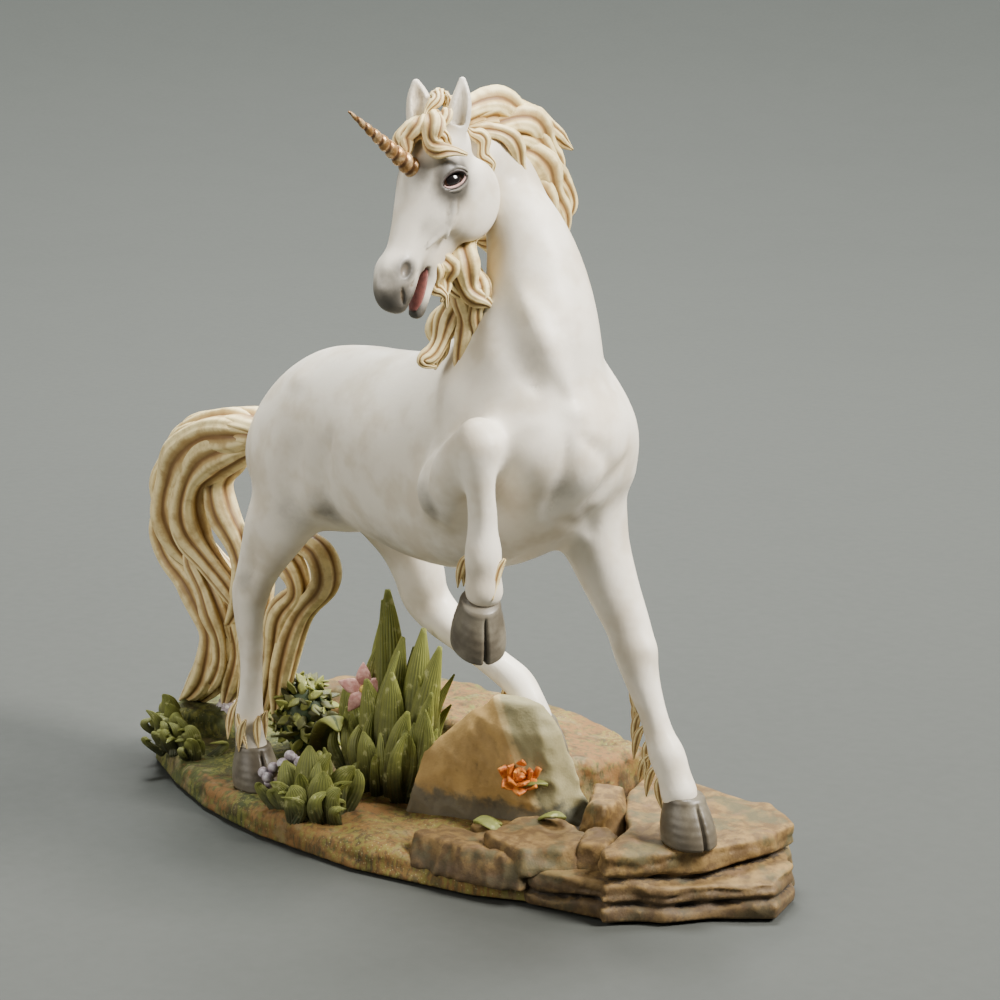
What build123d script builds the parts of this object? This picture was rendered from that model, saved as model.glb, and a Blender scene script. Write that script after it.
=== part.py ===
# Unicorn figurine: a painted resin horse with a spiral horn, striding over a rocky base.
# Millimetres. +X is where the horse heads, +Y its left side, +Z up.
# The origin lies on the table, under the middle of the base.
from build123d import *
import os

# Driving sizes of the whole figure
WITHERS_HEIGHT = 150.0
HANDS_AT_WITHERS = 15
HAND = WITHERS_HEIGHT / HANDS_AT_WITHERS
HEAD_LENGTH = 57.0

# Sizes of the cast and turned details
HORN_LENGTH = 30.0
HORN_DIAMETER = 6.4
HORN_TIP_DIAMETER = 0.9
HORN_RINGS = 9
EYE_DIAMETER = 6.0
EAR_LENGTH = 16.0
EAR_WIDTH = 6.6
HOOF_HEIGHT = 14.5
HOOF_LENGTH = 19.0
HOOF_WIDTH = 16.0
CLEFT_WIDTH = 0.9
TONGUE_WIDTH = 5.0

# Heights of the ground, measured from the table
FELT_THICKNESS = 1.0
FELT_DIAMETER = 20.0
GROUND_HEIGHT = 9.0
LOWER_LEDGE_HEIGHT = 13.0
UPPER_LEDGE_HEIGHT = 22.5
REAR_MOUND_HEIGHT = 31.0
BANK_HEIGHT = 18.0

# Steel wires that are cast into the legs, the horn, the neck and the tail
LEG_PIN_DIAMETER = 2.4
NECK_PIN_DIAMETER = 3.0
HORN_PIN_DIAMETER = 1.6
HORN_PIN_LENGTH = 16.0
TAIL_PIN_DIAMETER = 2.4

# Flowers, berries and leaves
ROSE_DIAMETER = 11.0
ROSE_PETALS = 5
LILY_PETAL_LENGTH = 9.0
LILY_PETAL_WIDTH = 5.0
LILY_PETALS = 5
BUD_DIAMETER = 3.4
YELLOW_FLOWER_DIAMETER = 6.0
PETAL_THICKNESS = 1.4
LEAF_LENGTH = 10.0
LEAF_WIDTH = 5.0
LEAF_THICKNESS = 1.6
BLADE_WIDTH = 4.4

# Overlap that lets one piece be cut to the face of another
SINK = 0.8

# Radius of the ball that egg-shaped pieces are stretched from
UNIT_RADIUS = 1

# The table point under the middle of the base, in hands from the foot of the horse's median line
ORIGIN_SHARES = (-3.4, 2.2)

# Tables: each row is x, y, z of a section's centre, then its half width and half depth, in hands
TORSO_SHARES = [
    (-10.5, 0.1, 12.5, 0.4, 0.5), (-10.2, 0.1, 12.4, 0.95, 1.25), (-9.5, 0.1, 12.25, 1.6, 2.0),
    (-8.6, 0.05, 12.4, 2.05, 2.5), (-7.4, 0.0, 12.75, 2.25, 2.9), (-6.0, 0.0, 13.05, 2.3, 3.0),
    (-4.5, 0.0, 13.2, 2.25, 2.95), (-3.0, 0.0, 13.1, 2.35, 3.1), (-1.2, 0.05, 13.1, 2.45, 3.25),
    (0.5, 0.2, 13.25, 2.55, 3.3), (2.0, 0.4, 13.7, 2.7, 3.15), (3.3, 0.5, 14.1, 2.6, 2.6),
    (4.2, 0.45, 14.35, 2.1, 2.0), (4.75, 0.4, 14.5, 1.2, 1.2), (4.9, 0.4, 14.5, 0.5, 0.5)]
NECK_SHARES = [
    (1.2, 0.3, 14.6, 2.3, 2.9), (2.1, 0.4, 15.4, 2.35, 2.75), (2.7, 0.3, 16.6, 2.05, 2.45),
    (2.95, 0.2, 18.2, 1.6, 2.05), (2.9, 0.1, 19.7, 1.35, 1.75), (2.6, -0.15, 21.0, 1.1, 1.5),
    (2.2, -0.5, 22.0, 0.95, 1.3), (1.9, -0.9, 22.7, 0.8, 1.1)]
RIGHT_HIND_LEG_SHARES = [
    (-7.2, -1.0, 13.6, 1.0, 1.5), (-7.4, -1.2, 12.8, 1.3, 1.9), (-7.6, -1.5, 11.2, 1.15, 1.8),
    (-7.9, -1.75, 9.8, 0.85, 1.35), (-8.6, -1.9, 8.4, 0.65, 0.85), (-8.9, -1.9, 7.4, 0.54, 0.72),
    (-8.85, -1.95, 6.5, 0.48, 0.56), (-8.85, -2.0, 5.2, 0.45, 0.48), (-8.9, -2.0, 4.0, 0.45, 0.48),
    (-9.0, -2.0, 3.3, 0.52, 0.56), (-8.95, -2.05, 2.7, 0.48, 0.54), (-8.75, -2.05, 2.2, 0.5, 0.56),
    (-8.7, -2.05, 1.6, 0.45, 0.5)]
LEFT_HIND_LEG_SHARES = [
    (-6.7, 1.1, 13.4, 1.0, 1.5), (-6.6, 1.3, 12.6, 1.3, 1.8), (-6.0, 1.5, 10.8, 1.2, 1.5),
    (-5.5, 1.8, 9.2, 0.85, 1.1), (-5.3, 2.0, 8.1, 0.65, 0.85), (-5.25, 2.2, 7.2, 0.58, 0.75),
    (-4.7, 2.45, 6.6, 0.5, 0.62), (-3.6, 2.65, 6.1, 0.45, 0.5), (-2.2, 2.85, 5.5, 0.44, 0.48),
    (-1.1, 2.95, 5.1, 0.5, 0.56), (-0.5, 3.0, 4.7, 0.48, 0.54), (0.0, 3.05, 4.2, 0.5, 0.56),
    (0.15, 3.05, 3.8, 0.4, 0.45)]
LEFT_FORE_LEG_SHARES = [
    (2.9, 1.5, 14.6, 1.0, 1.2), (3.0, 1.7, 13.8, 1.25, 1.5), (3.3, 2.2, 12.4, 1.25, 1.3),
    (3.6, 2.6, 11.0, 1.05, 1.05), (4.15, 2.8, 9.7, 0.85, 0.88), (4.8, 2.95, 8.4, 0.7, 0.78),
    (5.1, 2.95, 7.7, 0.64, 0.7), (5.55, 2.95, 6.6, 0.52, 0.56), (5.95, 3.0, 5.7, 0.48, 0.52),
    (6.4, 3.05, 4.8, 0.54, 0.6), (6.7, 3.1, 4.2, 0.5, 0.56), (6.95, 3.1, 3.6, 0.52, 0.58),
    (7.05, 3.1, 2.9, 0.42, 0.48)]
RIGHT_FOREARM_SHARES = [
    (1.3, -1.5, 12.7, 0.8, 1.0), (2.0, -2.05, 12.95, 0.95, 1.1), (2.7, -2.4, 13.5, 0.82, 0.9),
    (3.4, -2.6, 14.2, 0.66, 0.7), (3.95, -2.6, 14.75, 0.48, 0.46)]
RIGHT_CANNON_SHARES = [
    (4.1, -2.6, 15.4, 0.2, 0.2), (4.1, -2.6, 15.25, 0.48, 0.46), (4.15, -2.6, 14.8, 0.64, 0.62),
    (4.2, -2.6, 14.2, 0.6, 0.58), (4.23, -2.6, 13.2, 0.48, 0.48), (4.23, -2.6, 12.2, 0.46, 0.46),
    (4.26, -2.6, 11.5, 0.56, 0.56), (4.26, -2.6, 10.9, 0.52, 0.52), (4.3, -2.6, 10.3, 0.58, 0.58),
    (4.3, -2.6, 9.6, 0.45, 0.45)]

# Head: each row is x, y, z from the poll and two half sizes, as shares of the head's length
POLL_SHARES = (1.75, -1.3, 22.3)
HEAD_SHARES = [
    (-0.03, 0.13, 0.04, 0.06, 0.08), (-0.01, 0.09, 0.03, 0.12, 0.16), (0.0, 0.0, 0.0, 0.15, 0.2),
    (0.02, -0.12, -0.1, 0.165, 0.23), (0.03, -0.25, -0.22, 0.15, 0.205),
    (0.045, -0.37, -0.35, 0.12, 0.16), (0.05, -0.47, -0.46, 0.105, 0.135),
    (0.06, -0.56, -0.545, 0.105, 0.12), (0.06, -0.61, -0.6, 0.08, 0.085),
    (0.06, -0.63, -0.62, 0.03, 0.03)]
JAW_SHARES = [
    (0.02, -0.08, -0.22, 0.1, 0.1), (0.03, -0.14, -0.3, 0.11, 0.09), (0.04, -0.22, -0.42, 0.09, 0.065),
    (0.05, -0.31, -0.55, 0.075, 0.05), (0.06, -0.385, -0.66, 0.075, 0.045),
    (0.06, -0.43, -0.71, 0.05, 0.03)]
TONGUE_SHARES = [
    (0.04, -0.26, -0.42, 0.7, 0.022), (0.05, -0.34, -0.52, 0.9, 0.022), (0.06, -0.41, -0.61, 1.0, 0.02),
    (0.06, -0.44, -0.65, 0.6, 0.014)]
HORN_BASE_SHARES = (0.02, -0.36, 0.03)
HORN_AIM_SHARES = (0.03, -0.81, 0.59)
RIGHT_EAR_SHARES = (-0.09, -0.04, 0.2)
LEFT_EAR_SHARES = (0.12, 0.03, 0.19)
EAR_AIM_SHARES = (0.1, -0.2, 1.0)
EAR_RISE_SHARES = (-0.15, 0.2, 0.5, 0.8, 1.0)
EAR_SECTION_SHARES = [(0.5, 0.5), (0.85, 0.6), (1.0, 0.6), (0.6, 0.4), (0.12, 0.12)]
HORN_RING_SHARE = 0.88
RIGHT_EYE_SHARES = (-0.12, -0.27, -0.08)
LEFT_EYE_SHARES = (0.175, -0.22, -0.07)
FORELOCKS_SHARES = {
    "left_forelock": [
        (0.0, -0.03, 0.21, 0.05, 0.05), (0.02, -0.13, 0.195, 0.09, 0.06), (0.07, -0.215, 0.13, 0.08, 0.05),
        (0.13, -0.27, 0.05, 0.05, 0.04), (0.175, -0.27, 0.0, 0.015, 0.015)],
    "right_forelock": [
        (0.0, -0.03, 0.2, 0.05, 0.05), (-0.03, -0.13, 0.18, 0.08, 0.06), (-0.06, -0.21, 0.13, 0.08, 0.05),
        (-0.08, -0.29, 0.06, 0.05, 0.04), (-0.08, -0.33, 0.01, 0.015, 0.015)]}
BEARD_SHARES = [
    (0.04, -0.14, -0.38, 0.06, 0.05), (0.04, -0.15, -0.46, 0.08, 0.06), (0.04, -0.18, -0.55, 0.06, 0.05),
    (0.05, -0.23, -0.64, 0.015, 0.015)]

# Hair: locks of the mane and the tail, in hands
MANE_LOCKS_SHARES = {
    "mane_crown_lock": [
        (1.5, -1.7, 23.3, 0.3, 0.3), (1.5, -0.8, 24.0, 0.7, 0.5), (1.45, 0.4, 24.2, 0.8, 0.5),
        (1.2, 1.6, 23.8, 0.75, 0.45), (1.0, 2.6, 23.1, 0.5, 0.35), (0.9, 3.2, 22.4, 0.12, 0.12)],
    "mane_upper_lock": [
        (1.0, -0.9, 22.9, 0.4, 0.4), (1.0, 0.2, 23.1, 0.9, 0.55), (1.0, 1.5, 22.6, 0.9, 0.5),
        (0.9, 2.6, 21.8, 0.7, 0.4), (0.85, 3.4, 20.8, 0.12, 0.12)],
    "mane_middle_lock": [
        (0.9, -0.1, 21.5, 0.5, 0.5), (0.9, 1.0, 21.3, 1.0, 0.55), (0.9, 2.1, 20.6, 1.0, 0.5),
        (1.0, 3.0, 19.6, 0.6, 0.35), (1.0, 3.4, 18.7, 0.12, 0.12)],
    "mane_lower_lock": [
        (1.1, 0.3, 19.6, 0.6, 0.5), (1.0, 1.3, 19.2, 1.0, 0.55), (1.0, 2.2, 18.3, 0.9, 0.45),
        (1.1, 2.8, 17.2, 0.5, 0.3), (1.2, 3.1, 16.3, 0.12, 0.12)],
    "mane_throat_lock": [
        (1.2, -0.4, 20.6, 0.4, 0.4), (1.5, -1.4, 20.4, 0.7, 0.5), (1.9, -1.9, 19.4, 0.7, 0.45),
        (2.3, -1.9, 18.5, 0.35, 0.3), (2.4, -1.7, 18.1, 0.1, 0.1)],
    "mane_near_lock": [
        (1.0, -0.3, 19.0, 0.5, 0.5), (1.2, -1.3, 18.8, 0.8, 0.5), (1.4, -2.0, 17.8, 0.65, 0.4),
        (1.4, -2.7, 17.2, 0.45, 0.3), (1.2, -3.2, 16.9, 0.1, 0.1)],
    "mane_shoulder_lock": [
        (0.9, -0.2, 17.7, 0.5, 0.5), (1.05, -1.3, 17.65, 0.8, 0.45), (1.5, -1.8, 16.9, 0.6, 0.35),
        (1.7, -1.95, 16.2, 0.35, 0.25), (1.8, -2.0, 15.7, 0.1, 0.1)]}
TAIL_LOCKS_SHARES = {
    "tail_crown": [
        (-10.0, 0.1, 12.9, 0.35, 0.35), (-11.0, -0.1, 13.1, 0.9, 0.75), (-12.6, -0.4, 13.0, 1.2, 1.0),
        (-14.2, -0.6, 12.3, 1.3, 1.0), (-15.1, -0.6, 11.0, 1.2, 0.9), (-15.4, -0.6, 9.8, 0.6, 0.5)],
    "tail_outer_fall": [
        (-14.4, -0.6, 12.0, 0.6, 0.5), (-15.2, -0.7, 10.8, 1.0, 0.7), (-15.5, -0.7, 9.4, 1.1, 0.75),
        (-15.0, -0.4, 8.0, 0.8, 0.65), (-14.2, -0.1, 6.8, 0.3, 0.3)],
    "tail_middle_fall": [
        (-13.6, -0.2, 11.6, 0.6, 0.5), (-13.7, -0.3, 10.0, 1.0, 0.8), (-13.8, -0.1, 8.2, 1.0, 0.8),
        (-13.6, 0.1, 6.4, 0.75, 0.65), (-13.8, 0.3, 4.6, 0.7, 0.6), (-14.8, 0.5, 3.0, 0.8, 0.5),
        (-15.8, 0.5, 1.9, 0.45, 0.3)],
    "tail_inner_fall": [
        (-12.6, 0.2, 10.2, 0.5, 0.45), (-12.0, 0.2, 9.0, 0.9, 0.7), (-12.2, 0.3, 7.4, 0.9, 0.7),
        (-12.9, 0.4, 5.8, 0.6, 0.5), (-13.3, 0.5, 4.4, 0.2, 0.2)],
    "tail_forward_lobe": [
        (-11.4, 0.6, 9.2, 0.4, 0.35), (-10.4, 0.7, 8.7, 0.7, 0.5), (-9.8, 0.75, 7.6, 0.8, 0.5),
        (-10.0, 0.7, 6.2, 0.75, 0.5), (-10.7, 0.65, 4.7, 0.65, 0.45), (-11.3, 0.6, 3.2, 0.55, 0.4),
        (-11.7, 0.6, 1.9, 0.45, 0.35)]}

# Hooves: the middle of each sole, and how the hoof is turned, in degrees
RIGHT_HIND_SOLE_SHARES = (-8.55, -2.05)
LEFT_HIND_SOLE_SHARES = (0.45, 3.05)
LEFT_FORE_SOLE_SHARES = (7.35, 3.1)
RIGHT_FORE_SOLE_SHARES = (4.0, -2.6, 8.7)
HOOF_YAW = -12
RAISED_HOOF_YAW = -25
RAISED_HOOF_PITCH = 25
CROWN_SETBACK_SHARE = 0.12
CROWN_LENGTH_SHARE = 0.36
CROWN_WIDTH_SHARE = 0.39

# Ground pieces: rings of points, each x and y in hands, at the heights given with them
SLAB_LOW_SHARES = [
    (-17.0, -0.6), (-15.4, -1.9), (-12.6, -2.8), (-9.8, -3.4), (-6.6, -3.5), (-4.2, -3.2), (-2.0, -2.9),
    (0.0, -2.2), (2.2, -1.4), (4.0, -0.2), (5.4, 0.8), (5.8, 3.2), (5.2, 5.6), (3.2, 7.2), (0.2, 8.0),
    (-3.6, 8.3), (-8.0, 8.1), (-12.0, 7.4), (-15.0, 5.6), (-16.8, 2.6)]
SLAB_TOP_SHRINK_SHARE = 0.97
RING_GROWTH_SHARE = 1.03
MOUND_TOP_SHARE = 0.93
LOWER_LEDGE_SHARES = [
    (-0.4, 0.6), (3.8, -0.5), (5.9, 0.3), (7.6, 1.6), (8.3, 3.0), (9.5, 4.4), (8.8, 6.0), (7.2, 7.2),
    (4.4, 7.4), (1.0, 7.2), (-0.8, 4.0)]
UPPER_LEDGE_SHARES = [
    (5.8, 0.6), (6.4, 0.2), (7.2, 1.5), (7.9, 2.9), (8.2, 4.4), (8.3, 5.6), (8.1, 6.8), (6.4, 7.5),
    (4.4, 7.1), (3.0, 7.3), (1.6, 6.9), (2.4, 5.0), (3.6, 3.6), (4.9, 2.6), (5.5, 1.4)]
REAR_MOUND_SHARES = [
    (-9.4, 4.4), (-6.8, 3.4), (-3.6, 2.6), (-0.6, 2.2), (1.6, 2.8), (2.2, 4.8), (2.0, 7.0), (-0.4, 7.8),
    (-4.0, 8.0), (-8.0, 7.7), (-9.8, 6.4)]
BANK_SHARES = [
    (-16.8, -0.4), (-15.6, -1.4), (-14.2, -1.0), (-13.6, 0.6), (-13.2, 3.2), (-11.8, 5.0), (-11.4, 6.8),
    (-13.0, 6.8), (-15.0, 5.2), (-16.6, 2.4)]
BOULDER_RINGS_SHARES = [
    (0.8, [(-3.3, 0.2), (-1.2, 1.2), (0.6, 2.0), (1.8, 2.8), (2.3, 4.0), (0.6, 4.6), (-2.0, 4.2),
           (-3.9, 2.4)]),
    (3.0, [(-3.3, 0.7), (-1.4, 1.2), (0.4, 1.8), (1.5, 2.5), (1.7, 3.4), (0.3, 3.9), (-1.8, 3.5),
           (-3.5, 2.2)]),
    (4.3, [(-2.5, 1.3), (-1.2, 1.3), (0.0, 1.6), (1.0, 2.1), (1.1, 2.7), (0.0, 2.9), (-1.4, 2.7),
           (-2.5, 2.1)]),
    (5.0, [(-1.2, 1.7), (-0.5, 1.6), (0.1, 1.8), (0.6, 2.2), (0.6, 2.4), (0.0, 2.5), (-0.6, 2.4),
           (-1.2, 2.1)])]
FLAT_STONE_RINGS_SHARES = [
    (0.5, [(-0.2, -2.1), (1.8, -1.7), (3.8, -0.9), (3.7, 0.1), (1.6, 0.3), (-0.6, -0.4)]),
    (1.5, [(-0.5, -1.6), (1.8, -1.3), (3.6, -0.5), (3.4, 0.3), (1.7, 0.3), (-0.4, -0.4)])]
FRONT_STONE_RINGS_SHARES = [
    (1.0, [(1.8, -0.8), (3.8, -0.8), (5.0, 0.6), (4.2, 2.0), (2.4, 2.1), (1.3, 1.2)]),
    (1.9, [(1.9, -0.6), (3.7, -0.6), (4.7, 0.8), (4.0, 1.9), (2.4, 2.0), (1.5, 1.2)])]
BLOCK_STONE_RINGS_SHARES = [
    (1.0, [(4.7, 0.5), (5.7, 1.1), (5.2, 2.2), (4.0, 2.7), (3.6, 1.8)]),
    (2.05, [(4.8, 0.7), (5.5, 1.2), (5.0, 2.1), (4.1, 2.5), (3.8, 1.8)])]
WEDGE_STONE_RINGS_SHARES = [
    (1.2, [(2.9, 2.2), (4.5, 1.9), (4.0, 3.6), (3.0, 4.4), (1.9, 4.0)]),
    (2.6, [(3.0, 2.6), (4.1, 2.3), (3.7, 3.5), (3.0, 4.1), (2.2, 3.8)])]
RIM_STONE_RINGS_SHARES = [
    (0.8, [(-13.6, 3.0), (-11.0, 4.4), (-9.2, 5.2), (-9.0, 7.0), (-12.0, 7.2), (-14.4, 5.4)]),
    (2.2, [(-13.8, 3.8), (-11.4, 5.0), (-9.6, 5.8), (-9.4, 6.8), (-12.0, 6.9), (-14.0, 5.4)])]
FELT_PLACES_SHARES = [ORIGIN_SHARES, (-14.2, 0.4), (-9.0, 6.0), (-8.0, -1.8), (1.4, 5.6), (3.2, 1.2)]

# Grass: foot x, y, z and tip x, y, z in hands, then width as a share of a blade's width
TALL_GRASS_SHARES = [
    (-6.2, 1.6, 0.8, -6.5, 2.0, 7.4, 1.5), (-5.4, 1.4, 0.8, -5.4, 1.8, 6.2, 1.5),
    (-6.9, 2.2, 0.8, -7.4, 2.4, 6.0, 1.4), (-4.7, 1.6, 0.8, -4.2, 1.9, 5.8, 1.4),
    (-5.9, 0.8, 0.8, -6.3, 0.9, 4.4, 1.2), (-4.9, 0.9, 0.8, -4.9, 1.0, 4.8, 1.2),
    (-7.5, 1.4, 0.8, -8.1, 1.2, 3.6, 1.2), (-4.1, 1.2, 0.8, -3.5, 1.3, 4.6, 1.2)]
FRONT_TUFT_SHARES = [
    (-5.2, -2.2, 0.8, -5.3, -2.1, 3.2, 1.3), (-4.4, -2.4, 0.8, -4.1, -2.4, 2.7, 1.2),
    (-6.0, -2.4, 0.8, -6.4, -2.5, 2.5, 1.2), (-5.6, -1.5, 0.8, -5.9, -1.3, 2.6, 1.2),
    (-4.4, -1.5, 0.8, -4.1, -1.2, 2.6, 1.2), (-4.9, -2.9, 0.8, -4.8, -3.2, 2.2, 1.1)]
BANK_GRASS_SHARES = [
    (-14.8, -1.6, 0.8, -14.9, -1.7, 2.3, 1.2), (-14.0, -1.7, 0.8, -13.9, -1.8, 2.2, 1.2),
    (-13.2, -1.9, 0.8, -13.1, -2.0, 1.9, 1.2), (-15.6, -1.1, 0.8, -15.9, -1.2, 2.3, 1.2)]
BLADE_THICKNESS_SHARE = 0.55
BLADE_TIP_SHARE = 0.2

BUSH_SHARES = (-10.6, 1.4, 2.2, 1.3, 1.0, 1.7)
ARCHED_LEAF_SHARES = [
    (-8.6, 0.6, 0.8, 0.25, 0.12), (-8.2, 0.5, 2.2, 0.5, 0.14), (-7.4, 0.3, 3.1, 0.45, 0.14),
    (-6.7, 0.1, 2.9, 0.2, 0.1)]
LILY_PLACE_SHARES = (-6.8, 1.25, 4.15)
LILY_TURN = (60, 20, 0)
PETAL_LIFT = 20
FULL_TURN = 360
FLOWER_HEART_SHARE = 0.3
ROSE_TURN = (30, 20, 0)
ROSE_HEART_SHARE = 0.3
ROSE_PETAL_OUT_SHARE = 0.25
ROSE_PETAL_SHARES = (0.16, 0.28, 0.3)
ROSE_PETAL_SIZES = [share * ROSE_DIAMETER for share in ROSE_PETAL_SHARES]
ROSE_PLACE_SHARES = (0.8, 1.75, 2.96)
ROSE_LEAF_PLACES_SHARES = [
    (0.75, 1.8, 2.5, 35), (1.1, 0.7, 1.36, 200), (2.2, 1.4, 1.96, 20), (0.5, 1.2, 1.36, 250)]
YELLOW_FLOWER_SHARES = (-5.7, 0.6, 1.05)
BERRY_PLACES_SHARES = [
    (-6.6, -2.0, 2.5), (-6.8, -1.75, 2.3), (-6.35, -1.8, 2.3), (-6.95, -2.05, 2.15), (-6.6, -2.3, 2.3),
    (-7.3, -2.2, 1.95), (-7.6, -2.4, 1.75), (-7.5, -2.1, 1.7), (-7.2, -2.5, 1.7), (-7.8, -2.2, 1.45),
    (-7.4, -2.3, 1.45)]
BLOSSOM_PLACES_SHARES = [
    (-14.2, 0.4, 1.92), (-14.0, 0.7, 1.95), (-14.5, 0.5, 1.9), (-13.9, 0.3, 1.9), (-14.3, 0.8, 1.92)]
FEATHER_PLACES_SHARES = [
    (-9.45, -2.1, 3.6), (-9.35, -1.75, 3.4), (5.75, 2.85, 4.9), (6.0, 3.1, 4.4),
    (-1.4, 2.9, 4.6), (-1.1, 3.25, 4.4), (3.65, -2.75, 11.3), (3.65, -2.4, 11.2)]
FEATHER_SECTION_SHARES = [(0.6, 0.08, 0.1), (0.2, 0.16, 0.26), (-0.3, 0.14, 0.24), (-0.8, 0.03, 0.03)]

# Wires: start and end in hands, then the diameter
WIRES_SHARES = {
    "leg_pins": [
        ((-8.85, -2.02, 3.6), (-8.7, -2.05, 0.4), LEG_PIN_DIAMETER),
        ((0.05, 3.05, 4.3), (0.3, 3.05, 2.2), LEG_PIN_DIAMETER),
        ((6.45, 3.06, 4.7), (7.6, 3.12, 1.6), LEG_PIN_DIAMETER)],
    "body_pins": [
        ((2.2, 0.35, 14.0), (2.85, 0.2, 18.4), NECK_PIN_DIAMETER),
        ((-9.4, 0.1, 12.75), (-11.8, -0.25, 13.05), TAIL_PIN_DIAMETER)]}


def place(x, y, z=0.0):
    """A point given in hands from the foot of the horse's median line."""
    return Vector((x - ORIGIN_SHARES[0]) * HAND, (y - ORIGIN_SHARES[1]) * HAND, z * HAND)


def head_place(x, y, z):
    """A point given from the poll in shares of the head's length."""
    return place(*POLL_SHARES) + Vector(x, y, z) * HEAD_LENGTH


def flow(points, half_sizes, side):
    """A smooth solid through ellipses that stand square to the line through their centres."""
    sections = []
    for number, point in enumerate(points):
        before = points[max(number - 1, 0)]
        after = points[min(number + 1, len(points) - 1)]
        heading = (after - before).normalized()
        across = (side - heading * side.dot(heading)).normalized()
        section = Plane(origin=point, x_dir=across, z_dir=heading)
        sections.append(section * Ellipse(*half_sizes[number]))
    return loft(sections)


def limb(rows, side=Vector(0, 1, 0)):
    """A solid through rows of centres and half sizes in hands."""
    points = [place(*row[:3]) for row in rows]
    return flow(points, [(row[3] * HAND, row[4] * HAND) for row in rows], side)


def head_form(rows, side=Vector(1, 0, 0)):
    """A solid through rows given in shares of the head's length."""
    points = [head_place(*row[:3]) for row in rows]
    return flow(points, [(row[3] * HEAD_LENGTH, row[4] * HEAD_LENGTH) for row in rows], side)


def stone(rings):
    """A faceted rock through rings of corners, each ring with its height in hands."""
    layers = [Face(Wire.make_polygon([place(x, y, z) for x, y in ring])) for z, ring in rings]
    return loft(layers, ruled=True)


def ground(outline, low, high, low_share=1.0, high_share=1.0):
    """A slab of ground between two heights in millimetres, its outline grown about its middle."""
    middle = place(sum(x for x, y in outline) / len(outline), sum(y for x, y in outline) / len(outline))
    layers = []
    for height, share in ((low, low_share), (high, high_share)):
        corners = [middle + (place(x, y) - middle) * share for x, y in outline]
        layers.append(Face(Wire.make_polygon([Vector(p.X, p.Y, height) for p in corners])))
    return loft(layers, ruled=True)


def ellipsoid(centre, half_x, half_y, half_z):
    """An egg-shaped solid about a point."""
    return Pos(centre) * scale(Sphere(UNIT_RADIUS), by=(half_x, half_y, half_z))


def blade(row):
    """A tapered blade of grass from its foot to its tip."""
    foot = place(*row[:3])
    tip = place(*row[3:6])
    width = row[6] * BLADE_WIDTH
    thickness = width * BLADE_THICKNESS_SHARE
    layers = []
    for point, share in ((foot, 1.0), (tip, BLADE_TIP_SHARE)):
        layers.append(Plane(origin=point, z_dir=Vector(0, 0, 1)) * Rectangle(width * share, thickness * share))
    return loft(layers, ruled=True)


def whole(shape):
    """The main body of a shape, without crumbs that a cut leaves behind."""
    return max(shape.solids(), key=lambda solid: solid.volume)


def joined(solids):
    """One solid made of solids that overlap."""
    return solids[0].fuse(*solids[1:])


def near(one, other):
    """Whether the boxes round two shapes meet."""
    a, b = one.bounding_box(), other.bounding_box()
    return all(low < high for low, high in zip(
        (a.min.X, a.min.Y, a.min.Z, b.min.X, b.min.Y, b.min.Z),
        (b.max.X, b.max.Y, b.max.Z, a.max.X, a.max.Y, a.max.Z)))


def cut_by(solid, *others):
    """A solid without what the others fill."""
    for other in others:
        if near(solid, other):
            solid = solid - other
    return solid


def side_by_side(solids, *others):
    """Solids that keep apart: each is cut by the others and by those before it."""
    kept = []
    for solid in solids:
        kept.append(whole(cut_by(solid, *others, *kept)))
    return kept


def rod(start, end, diameter):
    """A straight round wire from one point to another."""
    way = end - start
    return Plane(origin=start, z_dir=way) * Cylinder(
        diameter / 2, way.length, align=(Align.CENTER, Align.CENTER, Align.MIN))


# Ground pieces, each resting on the one below
slab_middle_height = GROUND_HEIGHT / 2
base_slab = joined([
    ground(SLAB_LOW_SHARES, FELT_THICKNESS, slab_middle_height, SLAB_TOP_SHRINK_SHARE, RING_GROWTH_SHARE),
    ground(SLAB_LOW_SHARES, slab_middle_height, GROUND_HEIGHT, RING_GROWTH_SHARE, SLAB_TOP_SHRINK_SHARE)])
lower_ledge = ground(LOWER_LEDGE_SHARES, FELT_THICKNESS + SINK, LOWER_LEDGE_HEIGHT, SLAB_TOP_SHRINK_SHARE)
upper_ledge = ground(UPPER_LEDGE_SHARES, LOWER_LEDGE_HEIGHT - SINK, UPPER_LEDGE_HEIGHT)
rear_mound = ground(REAR_MOUND_SHARES, GROUND_HEIGHT - SINK, REAR_MOUND_HEIGHT, RING_GROWTH_SHARE, MOUND_TOP_SHARE)
left_bank = ground(BANK_SHARES, GROUND_HEIGHT - SINK, BANK_HEIGHT, RING_GROWTH_SHARE, MOUND_TOP_SHARE)
lower_ledge = whole(cut_by(lower_ledge, base_slab))
upper_ledge = whole(cut_by(upper_ledge, base_slab, lower_ledge))
rear_mound = whole(cut_by(rear_mound, base_slab, lower_ledge, upper_ledge))
left_bank = whole(cut_by(left_bank, base_slab, rear_mound))
grounds = [base_slab, lower_ledge, upper_ledge, rear_mound, left_bank]

# Horse: the torso first, then what is cast onto it
torso = limb(TORSO_SHARES)
neck = whole(cut_by(limb(NECK_SHARES), torso))
head = whole(cut_by(head_form(HEAD_SHARES), neck, torso))
lower_jaw = whole(cut_by(head_form(JAW_SHARES), head, neck))
tongue_points = [head_place(*row[:3]) for row in TONGUE_SHARES]
tongue_sizes = [(row[3] * TONGUE_WIDTH / 2, row[4] * HEAD_LENGTH) for row in TONGUE_SHARES]
tongue = whole(cut_by(flow(tongue_points, tongue_sizes, Vector(1, 0, 0)), head, lower_jaw))

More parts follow.
